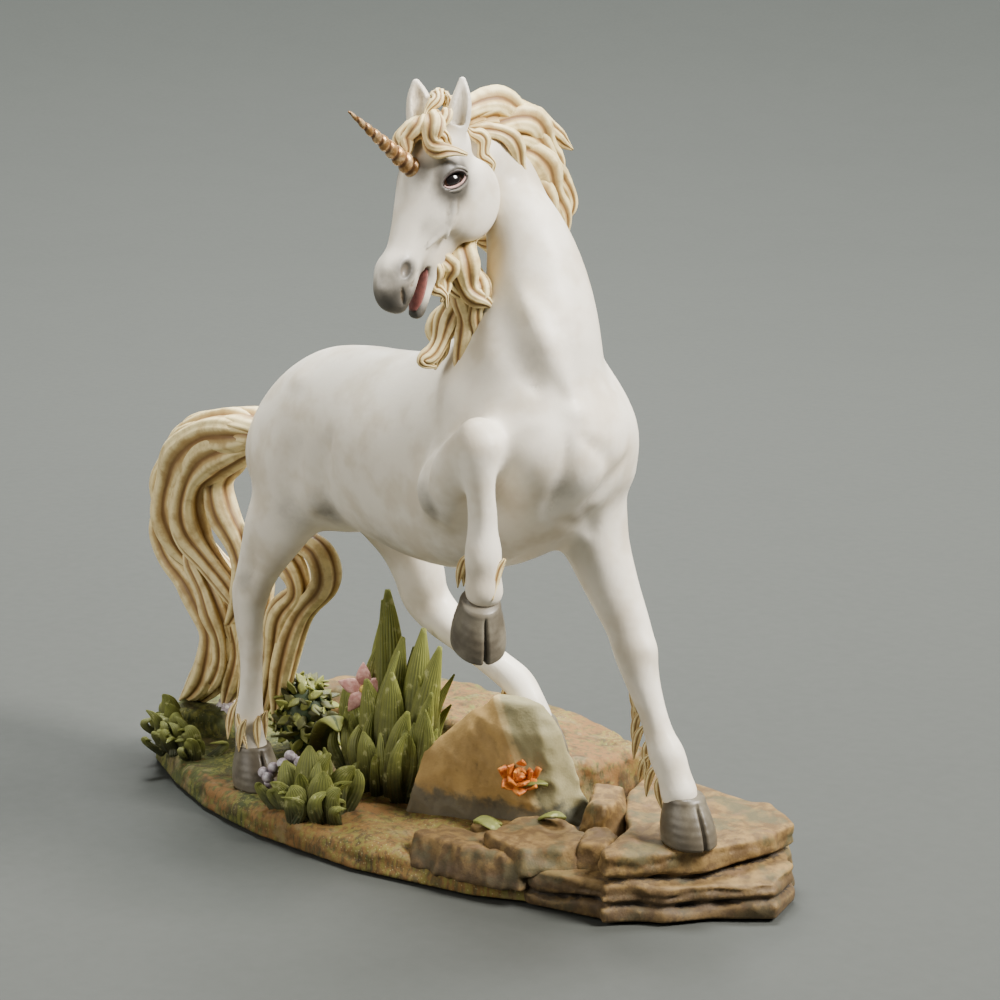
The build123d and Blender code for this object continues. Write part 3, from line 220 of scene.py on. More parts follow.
# Hair: rows of centre x, y, z, half width and half thickness
MANE_SHARES = [
    [(1.4, -1.8, 23.6, 0.25, 0.2), (1.4, -0.7, 23.95, 0.45, 0.28), (1.2, 0.8, 23.85, 0.5, 0.3),
     (1, 1.9, 23.5, 0.4, 0.22), (0.9, 2.4, 23.1, 0.06, 0.05)],
    [(1.3, -1.4, 23.5, 0.3, 0.2), (1.3, 0.1, 23.9, 0.5, 0.3), (1.1, 1.6, 23.7, 0.5, 0.3),
     (0.9, 2.8, 23.1, 0.35, 0.2), (0.8, 3.8, 22.6, 0.05, 0.05)],
    [(1.2, -0.5, 23.3, 0.35, 0.22), (1.4, 0.6, 23.5, 0.5, 0.28), (1.3, 1.9, 23.2, 0.48, 0.26),
     (1.1, 2.8, 22.4, 0.34, 0.2), (1, 3.2, 21.8, 0.05, 0.05)],
    [(1.2, 0, 22.9, 0.35, 0.22), (1.3, 1.1, 23, 0.5, 0.28), (1.2, 2.2, 22.6, 0.5, 0.26),
     (1, 3, 21.8, 0.42, 0.22), (0.9, 3.5, 21, 0.3, 0.18), (0.9, 3.5, 20.4, 0.05, 0.05)],
    [(1.2, 0.6, 22.5, 0.35, 0.22), (1.4, 1.4, 22.6, 0.5, 0.28), (1.3, 2.3, 21.8, 0.45, 0.24),
     (1.2, 3, 20.9, 0.34, 0.2), (1.1, 3.3, 19.9, 0.05, 0.05)],
    [(1.1, 0.8, 21.6, 0.4, 0.25), (1.2, 1.9, 21.4, 0.5, 0.28), (1.1, 2.8, 20.5, 0.4, 0.22),
     (1, 3.2, 19.4, 0.25, 0.16), (1.1, 3.3, 18.6, 0.05, 0.05)],
    [(1, 0.9, 20.4, 0.4, 0.25), (1, 2, 20, 0.55, 0.28), (1, 2.7, 18.9, 0.42, 0.22),
     (1.1, 2.9, 17.8, 0.25, 0.16), (1.2, 2.9, 17, 0.05, 0.05)],
    [(0.9, 0.8, 19.2, 0.4, 0.25), (0.8, 1.9, 18.8, 0.55, 0.28), (0.9, 2.5, 17.8, 0.42, 0.22),
     (1.1, 2.7, 16.8, 0.25, 0.16), (1.2, 2.7, 16.1, 0.05, 0.05)],
    [(1.6, -1, 23.4, 0.25, 0.18), (1.8, -0.2, 23.3, 0.3, 0.2), (1.95, 0.5, 22.7, 0.28, 0.18),
     (1.95, 1, 21.9, 0.14, 0.1), (1.9, 1.1, 21.4, 0.04, 0.04)],
    [(1.8, -1.1, 23.4, 0.2, 0.14), (2.05, -0.8, 23, 0.2, 0.14), (2.15, -0.6, 22.5, 0.14, 0.1),
     (2.15, -0.5, 22.1, 0.03, 0.03)],
    [(0.7, -0.6, 23, 0.35, 0.22), (0.5, 0.6, 23.3, 0.5, 0.28), (0.3, 1.9, 22.8, 0.48, 0.26),
     (0.2, 2.9, 21.8, 0.3, 0.2), (0.2, 3.3, 21, 0.05, 0.05)],
    [(0.5, 0, 21.8, 0.4, 0.25), (0.2, 1.2, 21.8, 0.55, 0.28), (0.1, 2.3, 21, 0.45, 0.24),
     (0.2, 3, 19.9, 0.25, 0.18), (0.3, 3.2, 19.2, 0.05, 0.05)],
    [(0.6, 0.2, 20, 0.4, 0.25), (0.2, 1.4, 19.8, 0.55, 0.28), (0.2, 2.3, 18.8, 0.42, 0.22),
     (0.4, 2.7, 17.6, 0.2, 0.14), (0.5, 2.8, 17, 0.05, 0.05)]]
NEAR_MANE_SHARES = [
    [(1.1, -0.2, 20.8, 0.35, 0.2), (1.6, -1.1, 20.4, 0.5, 0.28), (2, -1.6, 19.6, 0.42, 0.26),
     (2.2, -1.4, 18.9, 0.36, 0.22), (2.5, -1.1, 18.5, 0.2, 0.12), (2.7, -0.9, 18.2, 0.04, 0.04)],
    [(1, -0.4, 20.5, 0.35, 0.2), (1.5, -1.3, 20.2, 0.4, 0.24), (1.7, -1.9, 19.6, 0.32, 0.22),
     (1.8, -1.9, 18.9, 0.26, 0.18), (2, -1.4, 18.5, 0.05, 0.05)],
    [(0.9, -0.3, 19.8, 0.35, 0.2), (1.6, -1.2, 19.2, 0.42, 0.24), (1.6, -1.4, 18.2, 0.34, 0.2),
     (1.4, -1.7, 17.5, 0.32, 0.2), (1.25, -2.1, 17, 0.26, 0.16), (1.25, -2.4, 16.7, 0.16, 0.1),
     (1.4, -2, 16.5, 0.04, 0.04)],
    [(1, -0.4, 19.2, 0.35, 0.2), (1.9, -1.2, 18.6, 0.4, 0.24), (1.9, -1.3, 17.7, 0.36, 0.2),
     (1.9, -1.35, 16.6, 0.28, 0.17), (2, -1.3, 15.3, 0.04, 0.04)],
    [(1.2, -0.4, 19.5, 0.3, 0.18), (2.2, -1.15, 18.9, 0.3, 0.16), (2.3, -1.15, 17.9, 0.24, 0.12),
     (2.1, -1.3, 17, 0.04, 0.04)],
    [(0.8, -0.4, 18.3, 0.35, 0.2), (1.1, -1.3, 18, 0.4, 0.24), (1.2, -1.7, 17.2, 0.3, 0.18),
     (1.2, -1.9, 16.4, 0.04, 0.04)]]
FORELOCK_SHARES = [
    [(1.7, -1.9, 23.7, 0.2, 0.18), (2.1, -2.65, 23.75, 0.34, 0.24), (2.4, -3, 23.35, 0.36, 0.24),
     (2.75, -2.85, 22.95, 0.26, 0.18), (3.1, -2.2, 22.75, 0.06, 0.05)],
    [(1.6, -2, 23.7, 0.2, 0.18), (1.85, -2.95, 23.6, 0.32, 0.22), (1.9, -3.3, 23.15, 0.3, 0.2),
     (1.95, -3.45, 22.7, 0.05, 0.05)],
    [(1.8, -1.9, 23.8, 0.2, 0.18), (2.3, -2.5, 23.7, 0.28, 0.2), (2.55, -2.7, 23.3, 0.24, 0.16),
     (2.75, -2.5, 22.95, 0.05, 0.05)],
    [(1.6, -1.4, 23.8, 0.22, 0.18), (1.65, -1.9, 24.35, 0.26, 0.2), (1.85, -2.4, 24.2, 0.22, 0.16),
     (1.95, -2.8, 23.8, 0.05, 0.05)],
    [(1.4, -2, 23.7, 0.2, 0.18), (1.4, -2.85, 23.5, 0.32, 0.22), (1.5, -3.2, 23, 0.26, 0.18),
     (1.55, -3.35, 22.5, 0.05, 0.05)]]
BEARD_SHARES = [
    [(2.05, -2.5, 20.2, 0.3, 0.2), (2, -2.2, 19.6, 0.34, 0.22), (1.95, -2, 19.1, 0.26, 0.18),
     (2, -2.3, 18.5, 0.04, 0.04)],
    [(2, -2.7, 19.9, 0.25, 0.18), (2, -2.6, 19.3, 0.26, 0.18), (2, -2.3, 18.8, 0.16, 0.12),
     (2, -2.1, 18.3, 0.04, 0.04)]]
TAIL_SHARES = [
    [(-9.8, -0.1, 12.7, 0.35, 0.4), (-11.2, -0.2, 12.75, 0.5, 0.6), (-13.4, -0.2, 12.45, 0.55, 0.5),
     (-15.1, -0.2, 11.8, 0.5, 0.45), (-16.2, -0.2, 10.7, 0.45, 0.4), (-16.8, -0.2, 9.5, 0.4, 0.35),
     (-17, -0.2, 8.3, 0.2, 0.15)],
    [(-9.8, -0.2, 12.6, 0.35, 0.4), (-11, -0.5, 12.6, 0.6, 0.5), (-13.1, -0.6, 12.3, 0.7, 0.5),
     (-14.7, -0.6, 11.5, 0.65, 0.45), (-15.6, -0.6, 10.3, 0.6, 0.4), (-16, -0.5, 9.1, 0.55, 0.4),
     (-15.7, -0.4, 7.8, 0.45, 0.3), (-14.9, -0.3, 7, 0.08, 0.08)],
    [(-9.9, 0, 12.3, 0.35, 0.35), (-11.2, -0.4, 12.2, 0.55, 0.45), (-13, -0.5, 11.7, 0.6, 0.45),
     (-14.1, -0.6, 10.8, 0.55, 0.42), (-14.6, -0.6, 9.6, 0.5, 0.4), (-14.5, -0.5, 8.4, 0.45, 0.35),
     (-13.7, -0.4, 7.5, 0.4, 0.3), (-12.7, -0.2, 6.6, 0.3, 0.2), (-12.2, 0, 5.8, 0.05, 0.05)],
    [(-11.4, 0.1, 12, 0.35, 0.3), (-12.6, 0.1, 11.5, 0.45, 0.35), (-13.6, 0, 10.5, 0.4, 0.35),
     (-13.5, 0, 9.3, 0.35, 0.3), (-12.6, 0.1, 8.3, 0.35, 0.3), (-12.1, 0.1, 7.4, 0.35, 0.28),
     (-12.5, 0.1, 6.3, 0.35, 0.28), (-13.6, 0.1, 5, 0.08, 0.08)],
    [(-16.6, 0, 10.4, 0.3, 0.25), (-17.2, 0, 8.6, 0.5, 0.35), (-16.8, 0, 7.2, 0.5, 0.35),
     (-15.6, 0, 6.4, 0.45, 0.35), (-14.8, 0, 5.5, 0.42, 0.32), (-14.2, 0, 4.6, 0.42, 0.32),
     (-14.6, 0, 3.3, 0.4, 0.3), (-15.6, 0, 2.4, 0.34, 0.22), (-16.6, 0, 1.7, 0.06, 0.06)],
    [(-16.6, 0.3, 8.8, 0.3, 0.2), (-16.2, 0.3, 7.6, 0.4, 0.3), (-15.2, 0.3, 6.5, 0.42, 0.32),
     (-14.1, 0.3, 5.6, 0.4, 0.32), (-13.6, 0.3, 4.6, 0.4, 0.32), (-14.2, 0.3, 3.3, 0.4, 0.28),
     (-15.3, 0.3, 2.2, 0.2, 0.14), (-15.8, 0.3, 1.8, 0.05, 0.05)],
    [(-12.4, 0.5, 9.4, 0.25, 0.2), (-11.4, 0.6, 8.9, 0.35, 0.25), (-9.8, 0.7, 8.9, 0.4, 0.3),
     (-8.6, 0.7, 8.6, 0.36, 0.26), (-8.3, 0.7, 7.7, 0.36, 0.26), (-9.5, 0.7, 6.4, 0.4, 0.28),
     (-10.4, 0.7, 5, 0.36, 0.26), (-11.1, 0.7, 3.5, 0.34, 0.24), (-11.4, 0.7, 2, 0.1, 0.08)],
    [(-12.4, 0.4, 8.6, 0.25, 0.2), (-11.2, 0.5, 8.2, 0.35, 0.25), (-10, 0.5, 7.9, 0.38, 0.28),
     (-9.5, 0.5, 7.1, 0.38, 0.28), (-10.4, 0.5, 6.1, 0.38, 0.28), (-11.1, 0.5, 4.7, 0.36, 0.26),
     (-11.7, 0.5, 3.1, 0.3, 0.2), (-12, 0.5, 1.9, 0.08, 0.08)],
    [(-13, 0.3, 8.8, 0.25, 0.2), (-12.2, 0.4, 7.6, 0.4, 0.3), (-11.9, 0.4, 6.6, 0.42, 0.3),
     (-11.9, 0.4, 5.5, 0.42, 0.3), (-12.3, 0.4, 4.2, 0.4, 0.3), (-12.7, 0.4, 2.9, 0.3, 0.24),
     (-13.1, 0.4, 1.9, 0.08, 0.08)],
    [(-14.4, 0.2, 8, 0.3, 0.25), (-13.6, 0.4, 6.6, 0.42, 0.32), (-13.2, 0.5, 5.4, 0.42, 0.32),
     (-13.3, 0.5, 4.2, 0.42, 0.32), (-13.8, 0.5, 2.9, 0.36, 0.26), (-14.4, 0.5, 1.8, 0.08, 0.08)],
    [(-15.6, -0.2, 8.4, 0.3, 0.25), (-14.9, -0.2, 7.2, 0.42, 0.32), (-14, -0.1, 6.1, 0.42, 0.32),
     (-13.6, 0, 5, 0.4, 0.3), (-13.9, 0.1, 3.7, 0.38, 0.28), (-14.8, 0.2, 2.6, 0.25, 0.2),
     (-15.4, 0.2, 2, 0.05, 0.05)]]

# Feathers: where they grow, and the rows of one of them from its root down
FEATHER_ROOTS_SHARES = [
    (-9.45, -2.3, 3.5), (-9.5, -2, 3.7), (-9.4, -1.75, 3.4), (-9.1, -2.5, 3.2), (-8.6, -2.5, 3.1),
    (-8.45, -1.75, 3.3), (-8.4, -2.1, 3.2), (4.95, 2.6, 6.5), (5.15, 2.65, 6.1), (5.3, 2.6, 5.7),
    (5.45, 2.6, 5.3), (5.6, 2.65, 4.9), (5.8, 2.6, 4.5), (5.95, 2.7, 4.15), (5.7, 2.9, 4.7),
    (6.2, 2.55, 3.9), (-1.4, 2.9, 4.9), (-1.4, 3.25, 4.8), (-1.1, 3, 4.6), (3.78, -2.85, 11.15),
    (3.72, -2.6, 11.2), (4.72, -2.3, 11.1)]
FEATHER_FALL_SHARES = [
    (0.15, 0, 0.3, 0.05, 0.05), (-0.01, 0, 0, 0.13, 0.09), (-0.07, 0, -0.4, 0.12, 0.08),
    (-0.04, 0, -0.85, 0.02, 0.02)]

# Ground: outlines in plan, each with its lowest and highest level, how softly it joins the rest, and how
# much its sides slope
GROUND_SHARES = [
    ([(-17, -0.6), (-15.4, -1.9), (-12.6, -2.8), (-9.8, -3.4), (-6.6, -3.5), (-4.2, -3.2), (-2, -2.9),
      (0, -2.2), (2.2, -1.4), (4, -0.2), (5.4, 0.8), (5.8, 3.2), (5.2, 5.6), (3.2, 7.2), (0.2, 8),
      (-3.6, 8.3), (-8, 8.1), (-12, 7.4), (-15, 5.6), (-16.8, 2.6)], 0.12, 0.95, 0.1, 0.22),
    ([(-9.4, 4.4), (-6.8, 3.4), (-3.6, 2.6), (-0.6, 2.2), (1.6, 2.8), (2.2, 4.8), (2, 7), (-0.4, 7.8),
      (-4, 8), (-8, 7.7), (-9.8, 6.4)], 0.3, 3.08, 0.6, 0.2),
    ([(-16.8, -0.4), (-15.6, -1.4), (-14.2, -1), (-13.6, 0.6), (-13.2, 3.2), (-11.8, 5), (-11.4, 6.8),
      (-13, 6.8), (-15, 5.2), (-16.6, 2.4)], 0.3, 1.85, 0.6, 0.2)]
LEDGES_SHARES = [
    ([(-0.4, 0.6), (3.8, -0.5), (5.9, 0.3), (7.6, 1.6), (8.3, 3), (9.5, 4.4), (8.8, 6), (7.2, 7.2),
      (4.4, 7.4), (1, 7.2), (-0.8, 4)], 0.15, 1.3),
    ([(5.8, 0.6), (6.4, 0.2), (7.2, 1.5), (7.9, 2.9), (8.2, 4.4), (8.3, 5.6), (8.1, 6.8), (6.4, 7.5),
      (4.4, 7.1), (3, 7.3), (1.6, 6.9), (2.4, 5), (3.6, 3.6), (4.9, 2.6), (5.5, 1.4)], 1, 2.22)]
STONES_SHARES = {
    "boulder": [
        (0.8, [(-3.3, 0.2), (-1.2, 1.2), (0.6, 2), (1.8, 2.8), (2.3, 4), (0.6, 4.6), (-2, 4.2),
               (-3.9, 2.4)]),
        (3, [(-3, 0.8), (-1.3, 1), (0.6, 1.7), (1.5, 2.5), (1.7, 3.4), (0.3, 3.9), (-1.8, 3.5),
               (-3.2, 2.2)]),
        (4.3, [(-1.9, 1.6), (-1, 1.3), (0.3, 1.6), (1.3, 2.2), (1.4, 2.9), (0.2, 3.1), (-1.2, 2.8),
               (-1.9, 2.2)]),
        (5.2, [(-0.7, 1.9), (-0.4, 1.8), (0.2, 1.9), (0.9, 2.3), (0.9, 2.6), (0.2, 2.6), (-0.4, 2.5),
               (-0.7, 2.2)])],
    "flat_stone": [
        (0.5, [(-0.2, -2.1), (1.8, -1.7), (3.8, -0.9), (3.7, 0.1), (1.6, 0.3), (-0.6, -0.4)]),
        (1.5, [(-0.5, -1.6), (1.8, -1.3), (3.6, -0.5), (3.4, 0.3), (1.7, 0.3), (-0.4, -0.4)])],
    "front_stone": [
        (1, [(1.8, -0.8), (3.8, -0.8), (5, 0.6), (4.2, 2), (2.4, 2.1), (1.3, 1.2)]),
        (1.9, [(1.9, -0.6), (3.7, -0.6), (4.7, 0.8), (4, 1.9), (2.4, 2), (1.5, 1.2)])],
    "block_stone": [
        (1, [(4.7, 0.5), (5.7, 1.1), (5.2, 2.2), (4, 2.7), (3.6, 1.8)]),
        (2.05, [(4.8, 0.7), (5.5, 1.2), (5, 2.1), (4.1, 2.5), (3.8, 1.8)])],
    "wedge_stone": [
        (1.2, [(2.9, 2.2), (4.5, 1.9), (4, 3.6), (3, 4.4), (1.9, 4)]),
        (2.6, [(3, 2.6), (4.1, 2.3), (3.7, 3.5), (3, 4.1), (2.2, 3.8)])],
    "rim_stone": [
        (0.8, [(-13.6, 3), (-11, 4.4), (-9.2, 5.2), (-9, 7), (-12, 7.2), (-14.4, 5.4)]),
        (2.2, [(-13.8, 3.8), (-11.4, 5), (-9.6, 5.8), (-9.4, 6.8), (-12, 6.9), (-14, 5.4)])]}

# Grass: foot x, y, z and tip x, y, z, then the width as a share of a blade's width
TALL_GRASS_SHARES = [
    (-6.1, 1.6, 0.8, -6.4, 2, 7.6, 1.3), (-5.4, 1.5, 0.8, -5.3, 1.8, 6.2, 1.2),
    (-6.7, 2, 0.8, -7.2, 2.3, 6.2, 1.2), (-4.8, 1.6, 0.8, -4.3, 1.9, 6.7, 1.2),
    (-4.2, 1.4, 0.8, -3.3, 1.8, 6.3, 1.1), (-5.9, 0.9, 0.8, -6.2, 0.9, 4.7, 1.1),
    (-5, 0.9, 0.8, -4.9, 1, 5.2, 1.1), (-7.4, 1.5, 0.8, -8, 1.3, 3.9, 1),
    (-6.6, 0.9, 0.8, -7.2, 0.8, 3.5, 0.9), (-4.3, 0.8, 0.8, -3.9, 0.9, 4.1, 1),
    (-3.8, 1.1, 0.8, -3, 1.2, 4.9, 0.9), (-5.5, 0.5, 0.8, -5.6, 0.3, 3.1, 0.9),
    (-7, 2.5, 0.8, -7.8, 2.8, 5.2, 0.9), (-4.8, 2.1, 0.8, -4.6, 2.6, 5.6, 0.9)]
FRONT_TUFT_SHARES = [
    (-5.2, -2.2, 0.8, -5.3, -2.1, 3.2, 1.2), (-4.5, -2.4, 0.8, -4.1, -2.4, 2.7, 1),
    (-5.9, -2.3, 0.8, -6.3, -2.4, 2.5, 1), (-5.5, -1.6, 0.8, -5.9, -1.3, 2.7, 1),
    (-4.5, -1.6, 0.8, -4.1, -1.2, 2.6, 1), (-4.9, -2.8, 0.8, -4.8, -3.2, 2.2, 0.9),
    (-5.6, -2.7, 0.8, -6, -3.2, 2, 0.8), (-4.1, -2.1, 0.8, -3.5, -2.2, 2.2, 0.8),
    (-5, -1.9, 0.8, -4.7, -1.7, 3, 0.9), (-6.3, -1.9, 0.8, -6.9, -1.8, 2, 0.8)]
BANK_GRASS_SHARES = [
    (-14.8, -1.5, 0.8, -14.9, -1.7, 2.3, 0.8), (-14, -1.6, 0.8, -13.9, -1.8, 2.2, 0.8),
    (-13.3, -1.8, 0.8, -13.1, -2, 1.9, 0.8), (-15.6, -1, 0.8, -15.9, -1.2, 2.3, 0.8),
    (-14.4, -1.9, 0.8, -14.5, -2.2, 1.7, 0.7), (-13.7, -2.1, 0.8, -13.6, -2.4, 1.6, 0.7),
    (-15.2, -1.4, 0.8, -15.4, -1.7, 1.8, 0.7), (-12.6, -2.1, 0.7, -12.4, -2.4, 1.7, 0.7)]
BUSH_SHARES = ((-10.6, 1.4, 2.2), (1.15, 0.9, 1.5))
ARCHED_LEAF_SHARES = [
    (-8.6, 0.6, 0.8, 0.25, 0.12), (-8.2, 0.5, 2.2, 0.5, 0.14), (-7.4, 0.3, 3.1, 0.45, 0.14),
    (-6.7, 0.1, 2.9, 0.08, 0.05)]
ROSE_SHARES = (0.8, 1.75, 2.96)
ROSE_LEAVES_SHARES = [
    (0.75, 1.8, 2.5, 35), (1.1, 0.7, 1.36, 200), (2.2, 1.4, 1.96, 20), (0.5, 1.2, 1.36, 250)]
LILY_SHARES = (-6.8, 1.25, 4.15)
YELLOW_SHARES = (-5.7, 0.6, 1.1)
BERRIES_SHARES = [
    (-6.6, -2, 2.5), (-6.8, -1.75, 2.3), (-6.35, -1.8, 2.3), (-6.95, -2.05, 2.15), (-6.6, -2.3, 2.3),
    (-7.3, -2.2, 1.95), (-7.6, -2.4, 1.75), (-7.5, -2.1, 1.7), (-7.2, -2.5, 1.7), (-7.8, -2.2, 1.45),
    (-7.4, -2.3, 1.45)]
BLOSSOMS_SHARES = [
    (-14.2, 0.4, 2), (-14, 0.7, 2.05), (-14.5, 0.5, 1.95), (-13.9, 0.3, 1.95), (-14.3, 0.8, 2)]

# Directions that the flowers and the locks of hair face
FACING_CAMERA_SHARES = (0.75, -0.63, 0.2)
TAIL_FACING_SHARES = (0.15, -1, 0)
ROSE_FACING_SHARES = (0.6, -0.6, 0.5)
YELLOW_FACING_SHARES = (0.5, -0.5, 0.7)
BLOSSOM_FACING_SHARES = (0.3, -0.5, 0.8)

# Rock paint, in metres: how high the blue grey foot and the shade at the rim of the base reach, and where
# the ridge between the boulder's two faces runs
RIDGE_FOOT = 0.019
LEDGE_SHADE = 0.012
RIDGE_TOP = 0.05
RIDGE_PLACE = 0.017

# Ground paint: how far back its green begins, in metres
GREEN_PLACE = 0.045

# Base: the level of its flat foot, and how far below their own foot its slabs reach before it is cut flat
BASE_FOOT_SHARE = 0.1
BURIED_SHARE = 1.0

# Seams between the layers of the ledges: level, depth and width of each
STRATA_SHARES = [(1.4, 0.42, 0.1), (0.62, 0.34, 0.09), (1, 0.1, 0.06), (1.86, 0.08, 0.05)]

# Uneven surfaces: reach and height of each layer of relief, what its seed adds to the piece's own, and
# whether it has sharp ridges
GROUND_RELIEF_SHARES = [(3.2, 0.12, 4, False), (1.1, 0.05, 5, False), (0.5, 0.025, 6, True)]
LEDGES_RELIEF_SHARES = [(2.2, 0.09, 7, False), (1.2, 0.035, 8, True)]
STONE_RELIEF_SHARES = [(2.2, 0.06, 50, False), (1.3, 0.035, 1, True), (0.4, 0.012, 52, False)]

# Studio: camera place and turn, then the lamps' places, sizes and powers
CAMERA_PLACE = (0.5585, -0.4461, 0.2635)
CAMERA_TURN_DEGREES = (78, 0, 50)
CAMERA_LENS = 80.64
STUDIO_LAMPS = {
    "key": ((1.6, 0.8, 1.9), (0.03, 0.0, 0.11), 0.9, 200.0, (1.0, 0.96, 0.90)),
    "fill": ((-0.5, -2.2, 1.2), (0.0, 0.0, 0.12), 1.5, 38.0, (1.0, 0.95, 0.86)),
    "rim": ((-1.7, 1.2, 1.7), (0.03, 0.0, 0.11), 0.9, 30.0, (1.0, 0.97, 0.93)),
    "backdrop": ((-0.6, 0.5, 3.0), (-2.8, 2.4, 0.4), 1.5, 400.0, (0.97, 1.0, 0.98))}
STUDIO_SKY = (0.72, 0.73, 0.75, 1)
STUDIO_SKY_STRENGTH = 0.27

# Floor: radius of its flat part and of the bend round it, height of its wall, and how many sides it has
STUDIO_BOWL = (1.2, 4.6, 6.5)
STUDIO_SIDES = 96

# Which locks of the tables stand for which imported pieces
MANE_PIECES = {
    "mane_crown_lock": (0, 1), "mane_upper_lock": (2, 3, 10), "mane_middle_lock": (4, 5, 11),
    "mane_lower_lock": (6, 12), "mane_shoulder_lock": (7,), "mane_throat_lock": (8, 9)}
TAIL_PIECES = {
    "tail_crown": (0,), "tail_outer_fall": (4, 5), "tail_middle_fall": (1, 2, 10),
    "tail_inner_fall": (3, 8, 9), "tail_forward_lobe": (6, 7)}

# Locks of hair: how much wider and thicker they are than their rows, how far their middle swings, in how
# many waves, how much they swell with it, how narrow they start, and along what share of them they widen
TAIL_FULLNESS_SHARES = (1.35, 1.8)
MANE_FULLNESS_SHARES = (1.08, 1.35)
HAIR_SWING_SHARE = 0.12
HAIR_WAVES = 1.8
HAIR_SWELL_SHARE = 0.16
HAIR_ROOT_SHARE = 0.25
HAIR_WIDENING_SHARE = 0.2

# Sizes that can be changed in the sidebar, in metres: what each is, and its value
SIZES = {
    "hand": ("A fifteenth of the height at the withers", 0.010),
    "body_cell": ("Spacing of the grid that the body is modelled on", 0.00085),
    "head_cell": ("Spacing of the grid that the head is modelled on", 0.0005),
    "rock_cell": ("Spacing of the grid that the base is modelled on", 0.0009),
    "horn_length": ("Length of the horn that is seen", 0.031),
    "horn_diameter": ("Diameter of the horn at its foot", 0.0056),
    "hoof_length": ("Length of a hoof at its sole", 0.019),
    "hoof_width": ("Width of a hoof at its sole", 0.016),
    "hoof_height": ("Height of a hoof to its crown", 0.0145),
    "eye_radius": ("Radius of an eyeball", 0.0036),
    "blade_width": ("Half width of the widest blade of grass", 0.0038),
    "blossom_size": ("Length of a petal of the small flowers", 0.0026)}

# Turns of the groove up the horn
HORN_TURNS = 9.0

# Colours that can be changed in the sidebar: what each is, and its value
COLOURS = {
    "coat": ("Ivory of the coat", (0.87, 0.81, 0.69)),
    "coat_warm": ("Warm clouds on the coat", (0.56, 0.46, 0.31)),
    # coat_shade is partly the coat's own grey and partly painted shade in creases, under the belly and on the
    # neck's shaded side
    "coat_shade": ("Grey brushed round muzzle and joints", (0.035, 0.03, 0.024)),
    # Painted shade, laid in the hollows of the coat
    "coat_wash": ("Wash in the hollows of the coat", (0.16, 0.115, 0.065)),
    "hoof": ("Grey of the hooves", (0.085, 0.07, 0.048)),
    "hair": ("Cream of the hair's strands", (0.94, 0.78, 0.40)),
    "hair_mid": ("Tan of the hair's shallow grooves", (0.46, 0.29, 0.10)),
    "hair_deep": ("Brown of the hair's deep grooves", (0.20, 0.10, 0.03)),
    "horn": ("Copper gold of the horn", (0.40, 0.21, 0.07)),
    "iris": ("Brown of the eyes", (0.10, 0.045, 0.02)),
    "tongue": ("Pink of the tongue", (0.30, 0.11, 0.095)),
    "rock": ("Ochre of the stones", (0.10, 0.054, 0.013)),
    "rock_light": ("Sandy patches of the stones", (0.21, 0.125, 0.034)),
    "rock_green": ("Pale green patches of the stones", (0.065, 0.07, 0.03)),
    "rock_bright": ("Tan of the boulder", (0.50, 0.32, 0.11)),
    "rock_pale": ("Pale green of the boulder's far face", (0.22, 0.23, 0.13)),
    "rock_foot": ("Blue grey at the foot of the stones", (0.07, 0.08, 0.07)),
    # Painted shade, laid in the cracks of the stones
    "rock_deep": ("Wash in the cracks of the stones", (0.015, 0.01, 0.006)),
    "earth": ("Brown of the ground", (0.19, 0.095, 0.026)),
    "moss": ("Green of the ground", (0.055, 0.065, 0.014)),
    "moss_light": ("Yellow green of the ground", (0.19, 0.19, 0.035)),
    "leaf_dark": ("Green at the foot of leaves", (0.045, 0.045, 0.014)),
    "leaf": ("Green at the tips of leaves", (0.25, 0.27, 0.055)),
    "lily": ("Pink of the lily", (0.50, 0.22, 0.20)),
    "rose": ("Orange of the rose", (0.52, 0.12, 0.015)),
    "lilac": ("Lilac of berries and blossom", (0.30, 0.25, 0.28)),
    "yellow": ("Yellow of the small flower", (0.65, 0.38, 0.03)),
    "floor": ("Grey of the floor", (0.047, 0.051, 0.046))}

# Tones that stay as they are, in the order in which each paint uses them
TINTS = {
    # The coat's tone is the near white of the painted highlight on its ridges
    "coat": ((0.93, 0.9, 0.84),),
    # Rock: a brown stain, painted shade low down, a painted highlight along the boulder's ridge and a pale
    # painted highlight on bumps
    "rock": ((0.16, 0.09, 0.04), (0.045, 0.025, 0.01), (0.66, 0.52, 0.26), (0.30, 0.19, 0.06)),
    # Earth: painted shade in the hollows, then a brown stain, straw, dark streaks and light specks
    "earth": ((0.05, 0.035, 0.02), (0.04, 0.024, 0.008), (0.22, 0.17, 0.08), (0.05, 0.06, 0.02),
              (0.5, 0.46, 0.22)),
    "leaf": ((0.03, 0.06, 0.02), (0.62, 0.62, 0.3)),
    "eye": ((0.012, 0.01, 0.01), (0.02, 0.012, 0.01), (0.72, 0.5, 0.45)),
    "horn": ((0.82, 0.56, 0.30), (0.14, 0.06, 0.025)),
    "hoof": ((0.17, 0.15, 0.11), (0.04, 0.032, 0.025)),
    "tongue": ((0.16, 0.07, 0.065),),
    "eyelid_line": ((0.05, 0.035, 0.03), (0.02, 0.015, 0.012)),
    "eyelid_rim": ((0.66, 0.40, 0.36), (0.45, 0.24, 0.2)),
    "felt": ((0.05, 0.09, 0.06), (0.02, 0.04, 0.025)),
    "steel": ((0.5, 0.5, 0.5), (0.35, 0.35, 0.36)),
    "stem": ((0.09, 0.16, 0.05),),
    "rose": ((0.7, 0.26, 0.04), (0.2, 0.03, 0.006), (0.35, 0.06, 0.01)),
    "lily": ((0.7, 0.42, 0.36), (0.28, 0.06, 0.07), (0.75, 0.55, 0.12)),
    "yellow": ((0.92, 0.78, 0.3), (0.55, 0.3, 0.04), (0.4, 0.2, 0.03)),
    "lilac": ((0.66, 0.62, 0.66), (0.25, 0.18, 0.27), (0.8, 0.76, 0.74))}


def unit(vectors):
    """Vectors scaled to length one."""
    return vectors / np.maximum(np.linalg.norm(vectors, axis=-1, keepdims=True), 1e-9)


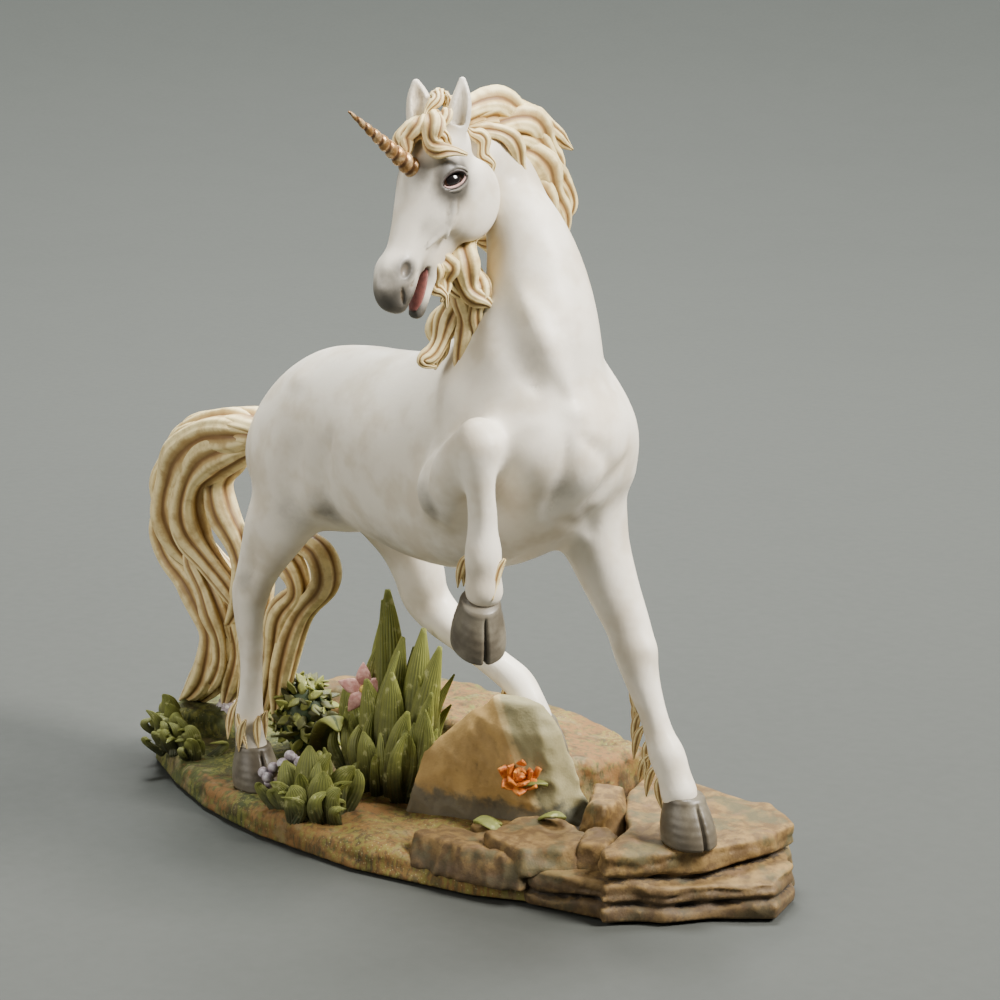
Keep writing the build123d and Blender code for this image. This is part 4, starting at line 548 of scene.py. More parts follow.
def spline(rows, fine):
    """Rows of a smooth line: each span of four rows a, b, c, d gives the Catmull-Rom cubic from b to c,
    half of 2b + (c-a)t + (2a-5b+4c-d)t^2 + (3b-a-3c+d)t^3, at `fine` steps of t."""
    rows = np.asarray(rows, float)
    rows = np.vstack([2 * rows[0] - rows[1], rows, 2 * rows[-1] - rows[-2]])
    t = np.linspace(0, 1, fine, endpoint=False)[:, None]
    spans = []
    for a, b, c, d in zip(rows, rows[1:], rows[2:], rows[3:]):
        bend = (2 * a - 5 * b + 4 * c - d) * t**2 + (3 * b - a - 3 * c + d) * t**3
        spans.append((2 * b + (c - a) * t + bend) / 2)
    return np.vstack(spans + [rows[-2][None]])


def frames(path, side):
    """Unit tangents along a path, and the side and up directions square to them; two sides are the
    first and the last, and the path turns from one to the other."""
    tangent = unit(np.gradient(path, axis=0))
    side = np.atleast_2d(np.asarray(side, float))
    share = np.linspace(0, 1, len(path))[:, None]
    side = side[0] + (side[-1] - side[0]) * share
    across = unit(side - (side * tangent).sum(1, keepdims=True) * tangent)
    return tangent, across, np.cross(tangent, across)


def blend_min(a, b, soft):
    """The lower of two distances with a rounded corner: mix(b, a, h) - soft h (1 - h), where
    h = 0.5 + (b - a) / (2 soft) kept between 0 and 1."""
    h = np.clip(0.5 + 0.5 * (b - a) / soft, 0, 1)
    return b + (a - b) * h - soft * h * (1 - h)


def ellipse_distance(scaled, halves):
    """Distance to an ellipsoid: k(k-1)/g, where k is the length of the point over the half axes and g
    the length of that over the half axes once more."""
    k = np.sqrt(sum(s * s for s in scaled)) + 1e-6
    g = np.sqrt(sum((s / h) ** 2 for s, h in zip(scaled, halves))) + 1e-6
    return k * (k - 1) / g


def offsets(grid, centre, halves, matrix):
    """Each point's place seen from a centre, along the matrix's columns and over the half sizes there."""
    rel = [g - c for g, c in zip(grid, centre)]
    return [sum(rel[k] * matrix[k, j] for k in range(3)) / halves[j] for j in range(3)]


class Clay:
    """A block of space on a grid, holding at each point the distance to the modelled surface."""

    def __init__(self, low, high, step):
        self.low = np.asarray(low, float)
        self.step = step
        self.shape = tuple(np.ceil((np.asarray(high, float) - self.low) / step).astype(int) + 1)
        self.axes = [self.low[k] + step * np.arange(self.shape[k]) for k in range(3)]
        self.distance = np.full(self.shape, FAR, np.float32)

    def window(self, low, high, margin):
        """The slices that hold a box, and the open grid of coordinates in them."""
        first = np.floor((np.asarray(low) - margin - self.low) / self.step).astype(int)
        last = np.ceil((np.asarray(high) + margin - self.low) / self.step).astype(int) + 1
        first, last = np.clip(first, 0, self.shape), np.clip(last, 0, self.shape)
        slices = tuple(slice(a, b) for a, b in zip(first, last))
        return slices, self.grid(slices)

    def everywhere(self):
        """The slices and the open grid of the whole block."""
        slices = tuple(slice(0, n) for n in self.shape)
        return slices, self.grid(slices)

    def grid(self, slices):
        """The open grid of coordinates in the slices."""
        axes = [axis[s].astype(np.float32) for axis, s in zip(self.axes, slices)]
        return np.meshgrid(*axes, indexing="ij", sparse=True)

    def merge(self, slices, form, soft, carve):
        """Add a form's distances to the clay, or take them away."""
        here = self.distance[slices]
        if carve:
            self.distance[slices] = -blend_min(-here, form, soft)
        else:
            self.distance[slices] = blend_min(here, form, soft)

    def ball(self, centre, halves, soft, matrix, carve=False):
        """An ellipsoid whose own axes are the matrix's columns."""
        centre, halves = np.asarray(centre, float), np.asarray(halves, float) * np.ones(3)
        reach = halves.max()
        slices, grid = self.window(centre - reach, centre + reach, soft + 2 * self.step)
        if 0 in self.distance[slices].shape:
            return
        scaled = offsets(grid, centre, halves, matrix)
        self.merge(slices, ellipse_distance(scaled, halves), soft, carve)

    def tube(self, rows, side=(0, 1, 0), soft=0.3, carve=False):
        """A tube through rows of centre x, y, z and two half sizes: between neighbouring rows the section
        is the ellipse in between, and each stretch is rounded off past its ends."""
        line = spline(rows, LINE_STEPS)
        path, halves = line[:, :3], np.maximum(line[:, 3:5], 0.02)
        _, across, up = frames(path, side)
        biggest = halves.max()
        whole, _ = self.window(path.min(0) - biggest, path.max(0) + biggest, soft + 2 * self.step)
        if 0 in self.distance[whole].shape:
            return
        form = np.full(self.distance[whole].shape, FAR, np.float32)
        last = len(path) - 2
        for i in range(last + 1):
            a, b = path[i], path[i + 1]
            span = b - a
            length = np.linalg.norm(span)
            reach = halves[i:i + 2].max()
            part, _ = self.window(np.minimum(a, b) - reach, np.maximum(a, b) + reach, soft + 3 * self.step)
            inner = tuple(slice(p.start - w.start, p.stop - w.start) for p, w in zip(part, whole))
            inner = tuple(slice(max(s.start, 0), min(s.stop, n)) for s, n in zip(inner, form.shape))
            part = tuple(slice(s.start + w.start, s.stop + w.start) for s, w in zip(inner, whole))
            if 0 in form[inner].shape:
                continue
            rel = [g - c for g, c in zip(self.grid(part), a)]
            along = sum(r * s for r, s in zip(rel, span / length**2))
            t = np.clip(along, 0, 1)
            rel = [r - t * s for r, s in zip(rel, span)]
            u, v, w = unit(across[i] + across[i + 1]), unit(up[i] + up[i + 1]), span / length
            half_u = halves[i, 0] + (halves[i + 1, 0] - halves[i, 0]) * t
            half_v = halves[i, 1] + (halves[i + 1, 1] - halves[i, 1]) * t
            rounding = END_ROUNDING if i in (0, last) else 1
            cap = max(min(halves[i].min(), halves[i + 1].min()) * rounding, 0.03)
            scaled = [sum(r * d for r, d in zip(rel, axis)) / half
                      for axis, half in ((u, half_u), (v, half_v), (w, cap))]
            np.minimum(form[inner], ellipse_distance(scaled, (half_u, half_v, cap)), out=form[inner])
        self.merge(whole, form, soft, carve)

    def raise_ball(self, centre, halves, height, matrix=LEVEL):
        """Swell the surface by height exp(-2 r^2), r being the distance over the half axes."""
        centre, halves = np.asarray(centre, float), np.asarray(halves, float) * np.ones(3)
        reach = halves.max() * 1.5
        slices, grid = self.window(centre - reach, centre + reach, 0)
        r2 = sum(part**2 for part in offsets(grid, centre, halves, matrix))
        self.distance[slices] -= (height * np.exp(-2 * r2)).astype(np.float32)

    def raise_line(self, points, width, height):
        """Swell, or with a minus sign groove, the surface along a line by height exp(-(d / width)^2), d
        being the distance to the line, which fades at its two ends."""
        path = spline(points, LINE_STEPS)
        whole, grid = self.window(path.min(0), path.max(0), 2.2 * width)
        nearest = np.full(self.distance[whole].shape, FAR, np.float32)
        for i in range(len(path) - 1):
            a, span = path[i], path[i + 1] - path[i]
            rel = [g - c for g, c in zip(grid, a)]
            t = np.clip(sum(r * s for r, s in zip(rel, span / (span @ span))), 0, 1)
            d2 = sum((r - t * s) ** 2 for r, s in zip(rel, span))
            taper = np.sin(np.pi * np.clip((i + t) / (len(path) - 1), 0.03, 0.97))
            np.minimum(nearest, d2 / taper, out=nearest)
        self.distance[whole] -= (height * np.exp(-nearest / width**2)).astype(np.float32)

    def soften(self, times):
        """Blur the distances with weights 1, 2, 1 along each axis, so that joins run smoothly."""
        d = np.clip(self.distance, -BAND, BAND)
        for _ in range(times):
            for axis in range(3):
                d = np.moveaxis(d, axis, 0)
                d[1:-1] = (d[:-2] + 2 * d[1:-1] + d[2:]) / 4
                d = np.moveaxis(d, 0, axis)
        self.distance = d

    def mesh(self):
        """Surface nets: a point in each cell that the surface crosses, at the mean of its crossings of the
        cell's edges, and a quad round each grid edge that it crosses."""
        d = self.distance
        inside = d < 0
        shape = [n - 1 for n in d.shape]
        count = np.zeros(shape, np.int8)
        for corner in np.ndindex(2, 2, 2):
            count += inside[tuple(slice(c, c + n) for c, n in zip(corner, shape))]
        active = (count > 0) & (count < 8)
        cells = np.argwhere(active)
        number = np.full(shape, -1, np.int64)
        number[active] = np.arange(len(cells))
        total, hits = np.zeros((len(cells), 3)), np.zeros(len(cells))
        for axis in range(3):
            others = [k for k in range(3) if k != axis]
            for one, two in np.ndindex(2, 2):
                start = np.zeros(3, int)
                start[others[0]], start[others[1]] = one, two
                end = start.copy()
                end[axis] = 1
                a = d[tuple((cells + start).T)]
                b = d[tuple((cells + end).T)]
                crossed = (a < 0) != (b < 0)
                t = np.where(crossed, a / np.where(crossed, a - b, 1), 0)
                point = np.tile(start.astype(float), (len(cells), 1))
                point[:, axis] += t
                total += point * crossed[:, None]
                hits += crossed
        points = (cells + total / hits[:, None]) * self.step + self.low
        quads = []
        for axis in range(3):
            one, two = [k for k in range(3) if k != axis]
            before, after = [slice(1, -1)] * 3, [slice(1, -1)] * 3
            before[axis], after[axis] = slice(0, -1), slice(1, None)
            a, b = inside[tuple(before)], inside[tuple(after)]
            for leaving in (True, False):
                edges = np.argwhere((a & ~b) if leaving else (~a & b))
                edges[:, one] += 1
                edges[:, two] += 1
                corners = []
                for back_one, back_two in ((1, 1), (0, 1), (0, 0), (1, 0)):
                    cell = edges.copy()
                    cell[:, one] -= back_one
                    cell[:, two] -= back_two
                    corners.append(number[tuple(cell.T)])
                ring = np.stack(corners, 1)
                quads.append(ring if leaving != (axis == 1) else ring[:, ::-1])
        return points, np.vstack(quads)

    def hollowness(self, points, spread):
        """How hollow the surface is at each point: the mean distance a few cells off, less the distance
        there, which is above zero in grooves and below it on ridges."""
        at = np.round((points - self.low) / self.step).astype(int)
        at = np.clip(at, spread, np.array(self.shape) - spread - 1)
        here = self.distance[tuple(at.T)]
        total = 0
        for axis in range(3):
            for sign in (-1, 1):
                off = at.copy()
                off[:, axis] += sign * spread
                total = total + self.distance[tuple(off.T)]
        return (here - total / 6) / (self.step * spread)


def turned(yaw, pitch, roll):
    """The matrix whose columns are axes turned by yaw about z, then pitch about y, then roll about x."""
    a, b, c = np.radians([yaw, pitch, roll])
    about_z = np.array([[np.cos(a), -np.sin(a), 0], [np.sin(a), np.cos(a), 0], [0, 0, 1]])
    about_y = np.array([[np.cos(b), 0, np.sin(b)], [0, 1, 0], [-np.sin(b), 0, np.cos(b)]])
    about_x = np.array([[1, 0, 0], [0, np.cos(c), -np.sin(c)], [0, np.sin(c), np.cos(c)]])
    return about_z @ about_y @ about_x


# The head's own directions as columns: down its length, to its camera side, out of its face
HEADING = math.radians(HEAD_HEADING_DEGREES)
SLOPE = math.radians(HEAD_SLOPE_DEGREES)
FORWARD = np.array([math.cos(HEADING), math.sin(HEADING), 0])
ASIDE = np.array([-math.sin(HEADING), math.cos(HEADING), 0])
DOWNWARD = FORWARD * math.sin(SLOPE) - np.array([0, 0, math.cos(SLOPE)])
OUTWARD = FORWARD * math.cos(SLOPE) + np.array([0, 0, math.sin(SLOPE)])
HEAD_AXES = np.stack([DOWNWARD, ASIDE, OUTWARD], 1)


def head_point(down, aside, outward):
    """A point given along the head's own directions from its middle."""
    return np.array(HEAD_MIDDLE_SHARES) + HEAD_AXES @ np.array([down, aside, outward])


def head_rows(rows):
    """Rows of down, out and two half sizes turned into rows in the horse's frame."""
    return [(*head_point(down, 0, out), wide, deep) for down, out, wide, deep in rows]


def ripple(grid, reach, seed):
    """A smooth uneven height between about -1 and 1: the mean of twelve plane waves of random direction
    and phase, each sin(k . p + c), with wave lengths round `reach`, scaled by 2.4."""
    chance = np.random.default_rng(seed)
    total = 0
    for _ in range(12):
        wave = chance.normal(size=3)
        wave *= chance.uniform(0.6, 1.6) * 2 * np.pi / reach / np.linalg.norm(wave)
        total = total + np.sin(sum(k * g for k, g in zip(wave, grid)) + chance.uniform(0, 6.28))
    return total / 12 * 2.4


def polygon_distance(x, y, ring):
    """Distance in plan to a ring of points, below zero inside it: the least distance to an edge, with the
    sign given by how many edges a line to the right crosses."""
    nearest = np.full(np.broadcast(x, y).shape, FAR**2)
    crossings = np.zeros(nearest.shape, bool)
    for (ax, ay), (bx, by) in zip(ring, np.roll(ring, -1, axis=0)):
        ex, ey = bx - ax, by - ay
        t = np.clip(((x - ax) * ex + (y - ay) * ey) / (ex * ex + ey * ey), 0, 1)
        nearest = np.minimum(nearest, (x - ax - t * ex) ** 2 + (y - ay - t * ey) ** 2)
        if ay != by:
            straddles = (ay > y) != (by > y)
            crossings ^= straddles & (x < ex * (y - ay) / (by - ay or 1) + ax)
    return np.where(crossings, -1, 1) * np.sqrt(nearest)


def closed_tube(path, across, up, halves, factor, caps):
    """The surface path(t) + across a(t) f(phi, t) cos(phi) + up b(t) f(phi, t) sin(phi), closed at both
    ends by a point a little past the path's end. Returns points, quads, triangles and each point's phi, t."""
    steps, ring = factor.shape
    phi = np.linspace(0, 2 * np.pi, ring, endpoint=False)
    wide = (halves[:, :1] * factor * np.cos(phi))[..., None] * across[:, None]
    deep = (halves[:, 1:] * factor * np.sin(phi))[..., None] * up[:, None]
    points = (path[:, None] + wide + deep).reshape(-1, 3)
    first = path[0] + unit(path[0] - path[1]) * caps[0]
    last = path[-1] + unit(path[-1] - path[-2]) * caps[1]
    i, j = np.meshgrid(np.arange(steps - 1), np.arange(ring), indexing="ij")
    k = (j + 1) % ring
    quads = np.stack([i * ring + j, i * ring + k, (i + 1) * ring + k, (i + 1) * ring + j], -1).reshape(-1, 4)
    j, k = np.arange(ring), (np.arange(ring) + 1) % ring
    start, end = steps * ring, steps * ring + 1
    rim = (steps - 1) * ring
    triangles = np.vstack([
        np.stack([np.full(ring, start), k, j], 1), np.stack([np.full(ring, end), rim + j, rim + k], 1)])
    phis = np.append(np.tile(phi, steps), [0, 0])
    spans = np.append(np.repeat(np.linspace(0, 1, steps), ring), [0, 1])
    return np.vstack([points, first, last]), quads, triangles, phis, spans


def sweep(rows, side, ring, fine, form=None, **marks):
    """A closed tube through rows of centre x, y, z and two half sizes, the first along `side`. `form`
    gives the share of the size at each phi and t, and a mark may be a function of phi and t too."""
    line = spline(rows, fine)
    path, halves = line[:, :3], np.maximum(line[:, 3:5], 0.01)
    _, across, up = frames(path, side)
    phi = np.linspace(0, 2 * np.pi, ring, endpoint=False)[None]
    t = np.linspace(0, 1, len(path))[:, None]
    factor = form(phi, t) * np.ones((len(path), ring)) if form else np.ones((len(path), ring))
    points, quads, triangles, phis, spans = closed_tube(path, across, up, halves, factor, (TIP_REACH,) * 2)
    values = {name: mark(phis, spans) if callable(mark) else np.full(len(points), float(mark))
              for name, mark in marks.items()}
    return points, quads, triangles, values


def join(*surfaces):
    """Several surfaces as one, each with its faces and marks kept."""
    points, quads, triangles, marks, count = [], [], [], {}, 0
    names = sorted({name for surface in surfaces for name in surface[3]})
    for surface in surfaces:
        points.append(surface[0])
        quads.append(surface[1] + count)
        triangles.append(surface[2] + count)
        for name in names:
            marks.setdefault(name, []).append(surface[3].get(name, np.zeros(len(surface[0]))))
        count += len(surface[0])
    return (np.vstack(points), np.vstack(quads), np.vstack(triangles),
            {name: np.concatenate(values) for name, values in marks.items()})


def waved(rows, facing, height, phase, root):
    """The rows of a lock with its middle swung from side to side, by height sin(2 pi n t + phase) sin(pi t)
    for n waves along it, its sizes swelled with it, and its start narrowed to the share `root`."""
    line = spline(rows, 3)
    t = np.linspace(0, 1, len(line))
    wave = np.sin(2 * np.pi * HAIR_WAVES * t + phase) * np.sin(np.pi * t)
    aside = unit(np.cross(np.gradient(line[:, :3], axis=0), facing))
    line[:, :3] += aside * (height * wave)[:, None]
    swell = np.sin(3.2 * np.pi * HAIR_WAVES * t + 2 * phase) * np.sin(np.pi * t)
    widening = root + (1 - root) * crown(t, -0.02, HAIR_WIDENING_SHARE)
    line[:, 3:5] *= ((1 + HAIR_SWELL_SHARE * swell) * widening)[:, None]
    return line


def fuller(rows, wide, thick):
    """The rows of a lock with its half widths and half thicknesses scaled."""
    return [(x, y, z, width * wide, thickness * thick) for x, y, z, width, thickness in rows]


def lock(rows, facing, strands, twist, depth, ring, fine):
    """A lock of hair, with grooves between its strands: its radius is 1 - depth v, where the valley v is
    (1 - |sin(n phi / 2 + w t)|) raised to 1.3, less shallow waves 0.03 sin(3 n phi + 4 w t)."""
    swapped = [(x, y, z, thin, wide) for x, y, z, wide, thin in rows]

    def valley(phi, t):
        return (1 - abs(np.sin(strands * phi / 2 + twist * t))) ** 1.3

    def form(phi, t):
        return 1 - depth * valley(phi, t) - 0.03 * np.sin(strands * 3 * phi + 4 * twist * t)

    return sweep(swapped, facing, ring, fine, form, groove=valley)


def sphere(centre, halves, matrix=LEVEL, steps=12, ring=20, **marks):
    """An ellipsoid centre + M (a cos(v) cos(u), b cos(v) sin(u), c sin(v)) with u round and v up it."""
    v = np.linspace(-np.pi / 2, np.pi / 2, steps + 2)[1:-1]
    halves = np.asarray(halves, float) * np.ones(3)
    path = np.stack([0 * v, 0 * v, halves[2] * np.sin(v)], 1)
    one = np.ones((steps, 1))
    shape = closed_tube(path, one * [1, 0, 0], one * [0, 1, 0], np.cos(v)[:, None] * halves[None, :2],
                        np.ones((steps, ring)), (halves[2] * (1 - np.sin(v[-1])),) * 2)
    points = shape[0] @ np.asarray(matrix).T + np.asarray(centre)
    values = {name: mark(shape[0]) if callable(mark) else np.full(len(points), float(mark))
              for name, mark in marks.items()}
    return points, shape[1], shape[2], values


def petal(root, out, up, length, width, curl, thickness, cup, **marks):
    """A petal or leaf from its root: at s along it the middle is root + out s length + up (curl s^2 +
    cup sin(pi s)), and its half width is width sin(pi s^0.75)^0.8."""
    out, up = unit(np.asarray(out, float)), unit(np.asarray(up, float))
    s = np.array([0.0, 0.2, 0.4, 0.6, 0.8, 1.0])
    rise = curl * s**2 + cup * np.sin(np.pi * s)
    middle = np.asarray(root) + np.outer(s * length, out) + np.outer(rise, up)
    half = width * np.sin(np.pi * np.clip(s, 0.08, 0.97) ** 0.75) ** 0.8
    rows = np.column_stack([middle, half, np.full(len(s), thickness)])
    vein = {"groove": lambda phi, t: np.exp(-((np.cos(phi) / 0.16) ** 2)) * (np.sin(phi) > 0)}
    return sweep(rows, np.cross(up, out), 18, 4,
                 lambda phi, t: 1 - 0.25 * np.exp(-((np.cos(phi) / 0.2) ** 2)), **{**vein, **marks})


def blade(row, bend, width, chance, count=6):
    """A thick grass blade from its foot to its tip, with ribs down it, that bends over to one side."""
    foot, tip = np.array(row[:3]), np.array(row[3:6])
    aside = np.array([chance.normal(0, 0.25), chance.normal(0, 0.25), 0]) * bend
    s = np.linspace(0, 1, 6)[:, None]
    middle = foot + (tip - foot) * s + aside * np.sin(np.pi * s) + [0, 0, 0.25] * np.sin(np.pi * s)
    half = width * row[6] * np.array([0.95, 1, 0.95, 0.8, 0.55, 0.14])
    rows = np.column_stack([middle, half, half * 0.5])
    side = turned(chance.uniform(10, 60), 0, 0)[:, 0]

    def ribs(phi, t):
        return (1 - abs(np.sin(count * phi + t))) ** 1.5

    return sweep(rows, side, 6 * count, 5, lambda phi, t: 1 - 0.3 * ribs(phi, t), groove=ribs,
                 rise=lambda phi, t: t)


def crown(value, low, high):
    """Zero below low, one above high, and smooth in between."""
    t = np.clip((value - low) / (high - low), 0, 1)
    return t * t * (3 - 2 * t)


def shading(points, spots):
    """How strongly the brushed spots cover each point: the most of any spot's strength exp(-(d / r)^2)."""
    total = np.zeros(len(points))
    for centre, reach, strength in spots:
        away = ((points - np.asarray(centre)) ** 2).sum(1)
        total = np.maximum(total, strength * np.exp(-away / reach**2))
    return total


def add_piece(name, surface, material, slot, nodes):
    """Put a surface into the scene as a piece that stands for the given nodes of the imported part."""
    points, quads, triangles, marks = surface
    points = (points - np.array(ORIGIN_SHARES)) * bpy.context.scene.figurine_sizes.hand
    mesh = bpy.data.meshes.new(name)
    mesh.vertices.add(len(points))
    mesh.vertices.foreach_set("co", points.astype(np.float32).ravel())
    corners = np.concatenate([quads.ravel(), triangles.ravel()]).astype(np.int32)
    mesh.loops.add(len(corners))
    mesh.loops.foreach_set("vertex_index", corners)
    starts = np.concatenate([np.arange(len(quads)) * 4, len(quads) * 4 + np.arange(len(triangles)) * 3])
    mesh.polygons.add(len(starts))
    mesh.polygons.foreach_set("loop_start", starts.astype(np.int32))
    mesh.polygons.foreach_set("use_smooth", np.ones(len(starts), bool))
    for mark, values in marks.items():
        layer = mesh.attributes.new(mark, "FLOAT", "POINT")
        layer.data.foreach_set("value", np.asarray(values, np.float32))
    mesh.update(calc_edges=True)
    if mesh.validate():
        raise RuntimeError(f"the mesh of {name} has broken faces")
    piece = bpy.data.objects.new(name, mesh)
    bpy.context.scene.collection.objects.link(piece)
    mesh.materials.append(material)
    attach(piece, "root")
    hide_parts(*nodes)


def clay_surface(clay, spots=(), spread=2):
    """The mesh of modelled clay, closed at the sides of its block, with its hollows and brushed shading."""
    for axis in range(3):
        rim = np.moveaxis(clay.distance, axis, 0)
        rim[[0, -1]] = np.maximum(rim[[0, -1]], clay.step)
    points, quads = clay.mesh()
    marks = {"hollow": clay.hollowness(points, spread), "shade": shading(points, spots)}
    return points, quads, np.zeros((0, 3), int), marks


def blurs(times, spacing, step):
    """How many blurs reach as far on a grid of this step as `times` of them do at the given spacing."""
    return max(2, round(times * (spacing / step) ** 2))


def body_clay(step):
    """The horse's trunk, neck and legs as one piece of modelled clay."""
    clay = Clay((-11.2, -4.0, 1.4), (7.8, 4.4, 24.2), step)
    clay.tube(TORSO_SHARES)
    clay.tube(NECK_SHARES, side=NECK_SIDES_SHARES, soft=0.6)
    clay.tube(SHOULDER_SHARES, soft=0.6)
    for leg in (RIGHT_HIND_SHARES, LEFT_HIND_SHARES, LEFT_FORE_SHARES):
        clay.tube(leg, soft=0.5)
    clay.tube(FOREARM_SHARES, soft=0.4)
    clay.tube(CANNON_SHARES, soft=0.25)
    clay.soften(blurs(5, 0.085, step))
    for swell in SWELLS_SHARES:
        clay.raise_ball(*swell)
    for line in LINES_SHARES:
        clay.raise_line(*line)
    clay.soften(3)
    return clay


def head_clay(step):
    """The head with its jaw and ears as one piece of modelled clay."""
    clay = Clay((-0.6, -5.8, 17.2), (4.8, 2.0, 25.6), step)
    clay.tube(head_rows(SKULL_SHARES), side=ASIDE, soft=0.45)
    for camera_side in (-1, 1):
        mirror = np.array([1, camera_side, 1])
        for (place, halves), soft in ((CHEEK_SHARES, 0.25), (FACE_SIDE_SHARES, 0.3), (ORBIT_SHARES, 0.25)):
            clay.ball(head_point(*(np.array(place) * mirror)), halves, soft, HEAD_AXES)
    clay.tube(head_rows(MANDIBLE_SHARES), side=ASIDE, soft=0.2)
    clay.tube(head_rows(MOUTH_CORNER_SHARES), side=ASIDE, soft=0.15)
    clay.soften(blurs(6, 0.05, step))
    for place, halves, height in HEAD_SWELLS_SHARES:
        clay.raise_ball(head_point(*place), halves, height, HEAD_AXES)
    for points, width, height in HEAD_LINES_SHARES:
        clay.raise_line([head_point(*point) for point in points], width, height)
    clay.tube(head_rows(MOUTH_SHARES), side=ASIDE, soft=0.06, carve=True)
    for ear in (LEFT_EAR_SHARES, RIGHT_EAR_SHARES):
        rows = [(*head_point(*row[:3]), *row[3:]) for row in ear]
        clay.tube(rows, side=EAR_SIDE_SHARES, soft=0.15)
        hollow = [(*head_point(*(np.array(row[:3]) + EAR_HOLLOW_SHARES)), row[3] * 0.55, row[4] * 0.5)
                  for row in ear[1:]]
        clay.tube(hollow, side=EAR_SIDE_SHARES, soft=0.05, carve=True)
    for camera_side in (-1, 1):
        mirror = np.array([1, camera_side, 1])
        place, halves = NOSTRIL_SHARES
        clay.ball(head_point(*(np.array(place) * mirror)), halves, 0.06, HEAD_AXES, carve=True)
        middle, normal, axes = eye_place(camera_side)
        socket = (SOCKET_DEPTH_SHARE, *EYE_LID_SHARES)
        clay.ball(middle + normal * SOCKET_PLACE_SHARE, socket, 0.05, axes, carve=True)
    return clay


def eye_place(camera_side):
    """The eye's middle, its outward direction, and the matrix of outward, along and up-and-down axes."""
    normal = unit(HEAD_AXES @ np.array(EYE_OUTWARD_SHARES))
    level = unit(np.cross(normal, DOWNWARD))
    tilt = math.radians(EYE_TILT_DEGREES)
    along = level * math.cos(tilt) + np.cross(normal, level) * math.sin(tilt)
    axes = np.stack([normal, along, np.cross(normal, along)], 1)
    if camera_side < 0:
        axes = axes - 2 * np.outer(ASIDE, ASIDE @ axes)
    middle = head_point(*(np.array(EYE_SHARES) * [1, camera_side, 1]))
    return middle, axes[:, 0], axes


def lid(camera_side, start, end, lift, thick, outside):
    """A rim round part of the eye's opening: E + a cos(h) A + b sin(h) B + lift N for h from start to end."""
    middle, normal, axes = eye_place(camera_side)
    half_along, half_up = EYE_LID_SHARES
    turn = np.radians(np.linspace(start, end, 9))[:, None]
    rim = (middle + normal * lift + (half_along + outside) * np.cos(turn) * axes[:, 1]
           + (half_up + outside) * np.sin(turn) * axes[:, 2])
    size = thick * np.sin(np.pi * np.linspace(0.08, 0.92, 9)) ** 0.6
    return sweep(np.column_stack([rim, size, size]), normal, 12, 4, shade=0.62)


def eye_surface(camera_side, radius):
    """An eyeball whose mark `gaze` is the angle from its outward axis as a share of a quarter turn."""
    middle, normal, axes = eye_place(camera_side)
    matrix = np.stack([axes[:, 1], axes[:, 2], normal], 1)
    if np.linalg.det(matrix) < 0:
        matrix[:, 0] *= -1

    def gaze(points):
        return np.arccos(np.clip(points[:, 2] / radius, -1, 1)) / (np.pi / 2)

    return sphere(middle - normal * EYE_SET_BACK_SHARE, radius, matrix, 28, 40, gaze=gaze)


def horn_surface(length, diameter, turns, hand):
    """A cone wound with a ridge: at height t the radius is R ((1 - t)^0.85 + 0.12) (1 - 0.2 v), where the
    valley v is (0.5 + 0.5 cos(phi - 2 pi n t)) squared, so that one groove climbs it in n turns."""
    foot, tip = head_point(*HORN_FOOT_SHARES), head_point(*HORN_TIP_SHARES)
    tip = foot + unit(tip - foot) * length / hand
    t = np.linspace(0, 1, 160)[:, None]
    path = foot + (tip - foot) * t
    radius = diameter / hand / 2 * ((1 - t) ** 0.85 + 0.12)
    _, across, up = frames(path, (1, 0, 0))
    phi = np.linspace(0, 2 * np.pi, 40, endpoint=False)
    valley = (0.5 + 0.5 * np.cos(phi[None] - 2 * np.pi * turns * t)) ** 2
    shape = closed_tube(path, across, up, radius * [1, 1], 1 - 0.2 * valley, (0.02, 0.05))
    return shape[0], shape[1], shape[2], {"groove": np.append(valley.ravel(), [0, 0]), "rise": shape[4]}


def hoof_surface(place, yaw, pitch, sizes):
    """A hoof from its sole to its crown: at height t the section is an ellipse with half axes that shrink
    towards the crown, notched at the toe by 0.26 exp(-(phi / 0.06)^2), with six growth rings up it."""
    hand = sizes.hand
    t = np.linspace(0, 1, 40)[:, None]
    phi = np.linspace(0, 2 * np.pi, 96, endpoint=False)[None]
    off_toe = (phi + np.pi) % (2 * np.pi) - np.pi
    notch = 0.26 * np.exp(-((off_toe / 0.06) ** 2)) * crown(1.02 - t, 0.05, 0.3)
    rings = 0.004 * np.sin(2 * np.pi * 6 * t + np.cos(phi)) * crown(t, 0.0, 0.1)
    factor = (1 - notch + rings) * (1 - 0.07 * (1 - crown(t, 0, 0.06)))
    coronet = 0.035 * np.exp(-(((t - 0.94) / 0.05) ** 2))
    belly = 0.07 * np.sin(np.pi * t**0.8) - 0.3 * t**1.4
    half_long = sizes.hoof_length / hand / 2 * (1.0 + 1.2 * belly + coronet)
    half_wide = sizes.hoof_width / hand / 2 * (0.98 + belly + coronet)
    height = sizes.hoof_height / hand
    path = np.hstack([-0.22 * t * height, 0 * t, t * height])
    one = np.ones_like(t)
    shape = closed_tube(path, one * [1, 0, 0], one * [0, 1, 0], np.hstack([half_long, half_wide]), factor,
                        (0.01, 0.01))
    points = shape[0] @ turned(yaw, pitch, 0).T + np.asarray(place)
    marks = {"groove": np.append((notch / 0.26 * np.ones_like(factor)).ravel(), [0, 0]), "rise": shape[4]}
    return points, shape[1], shape[2], marks


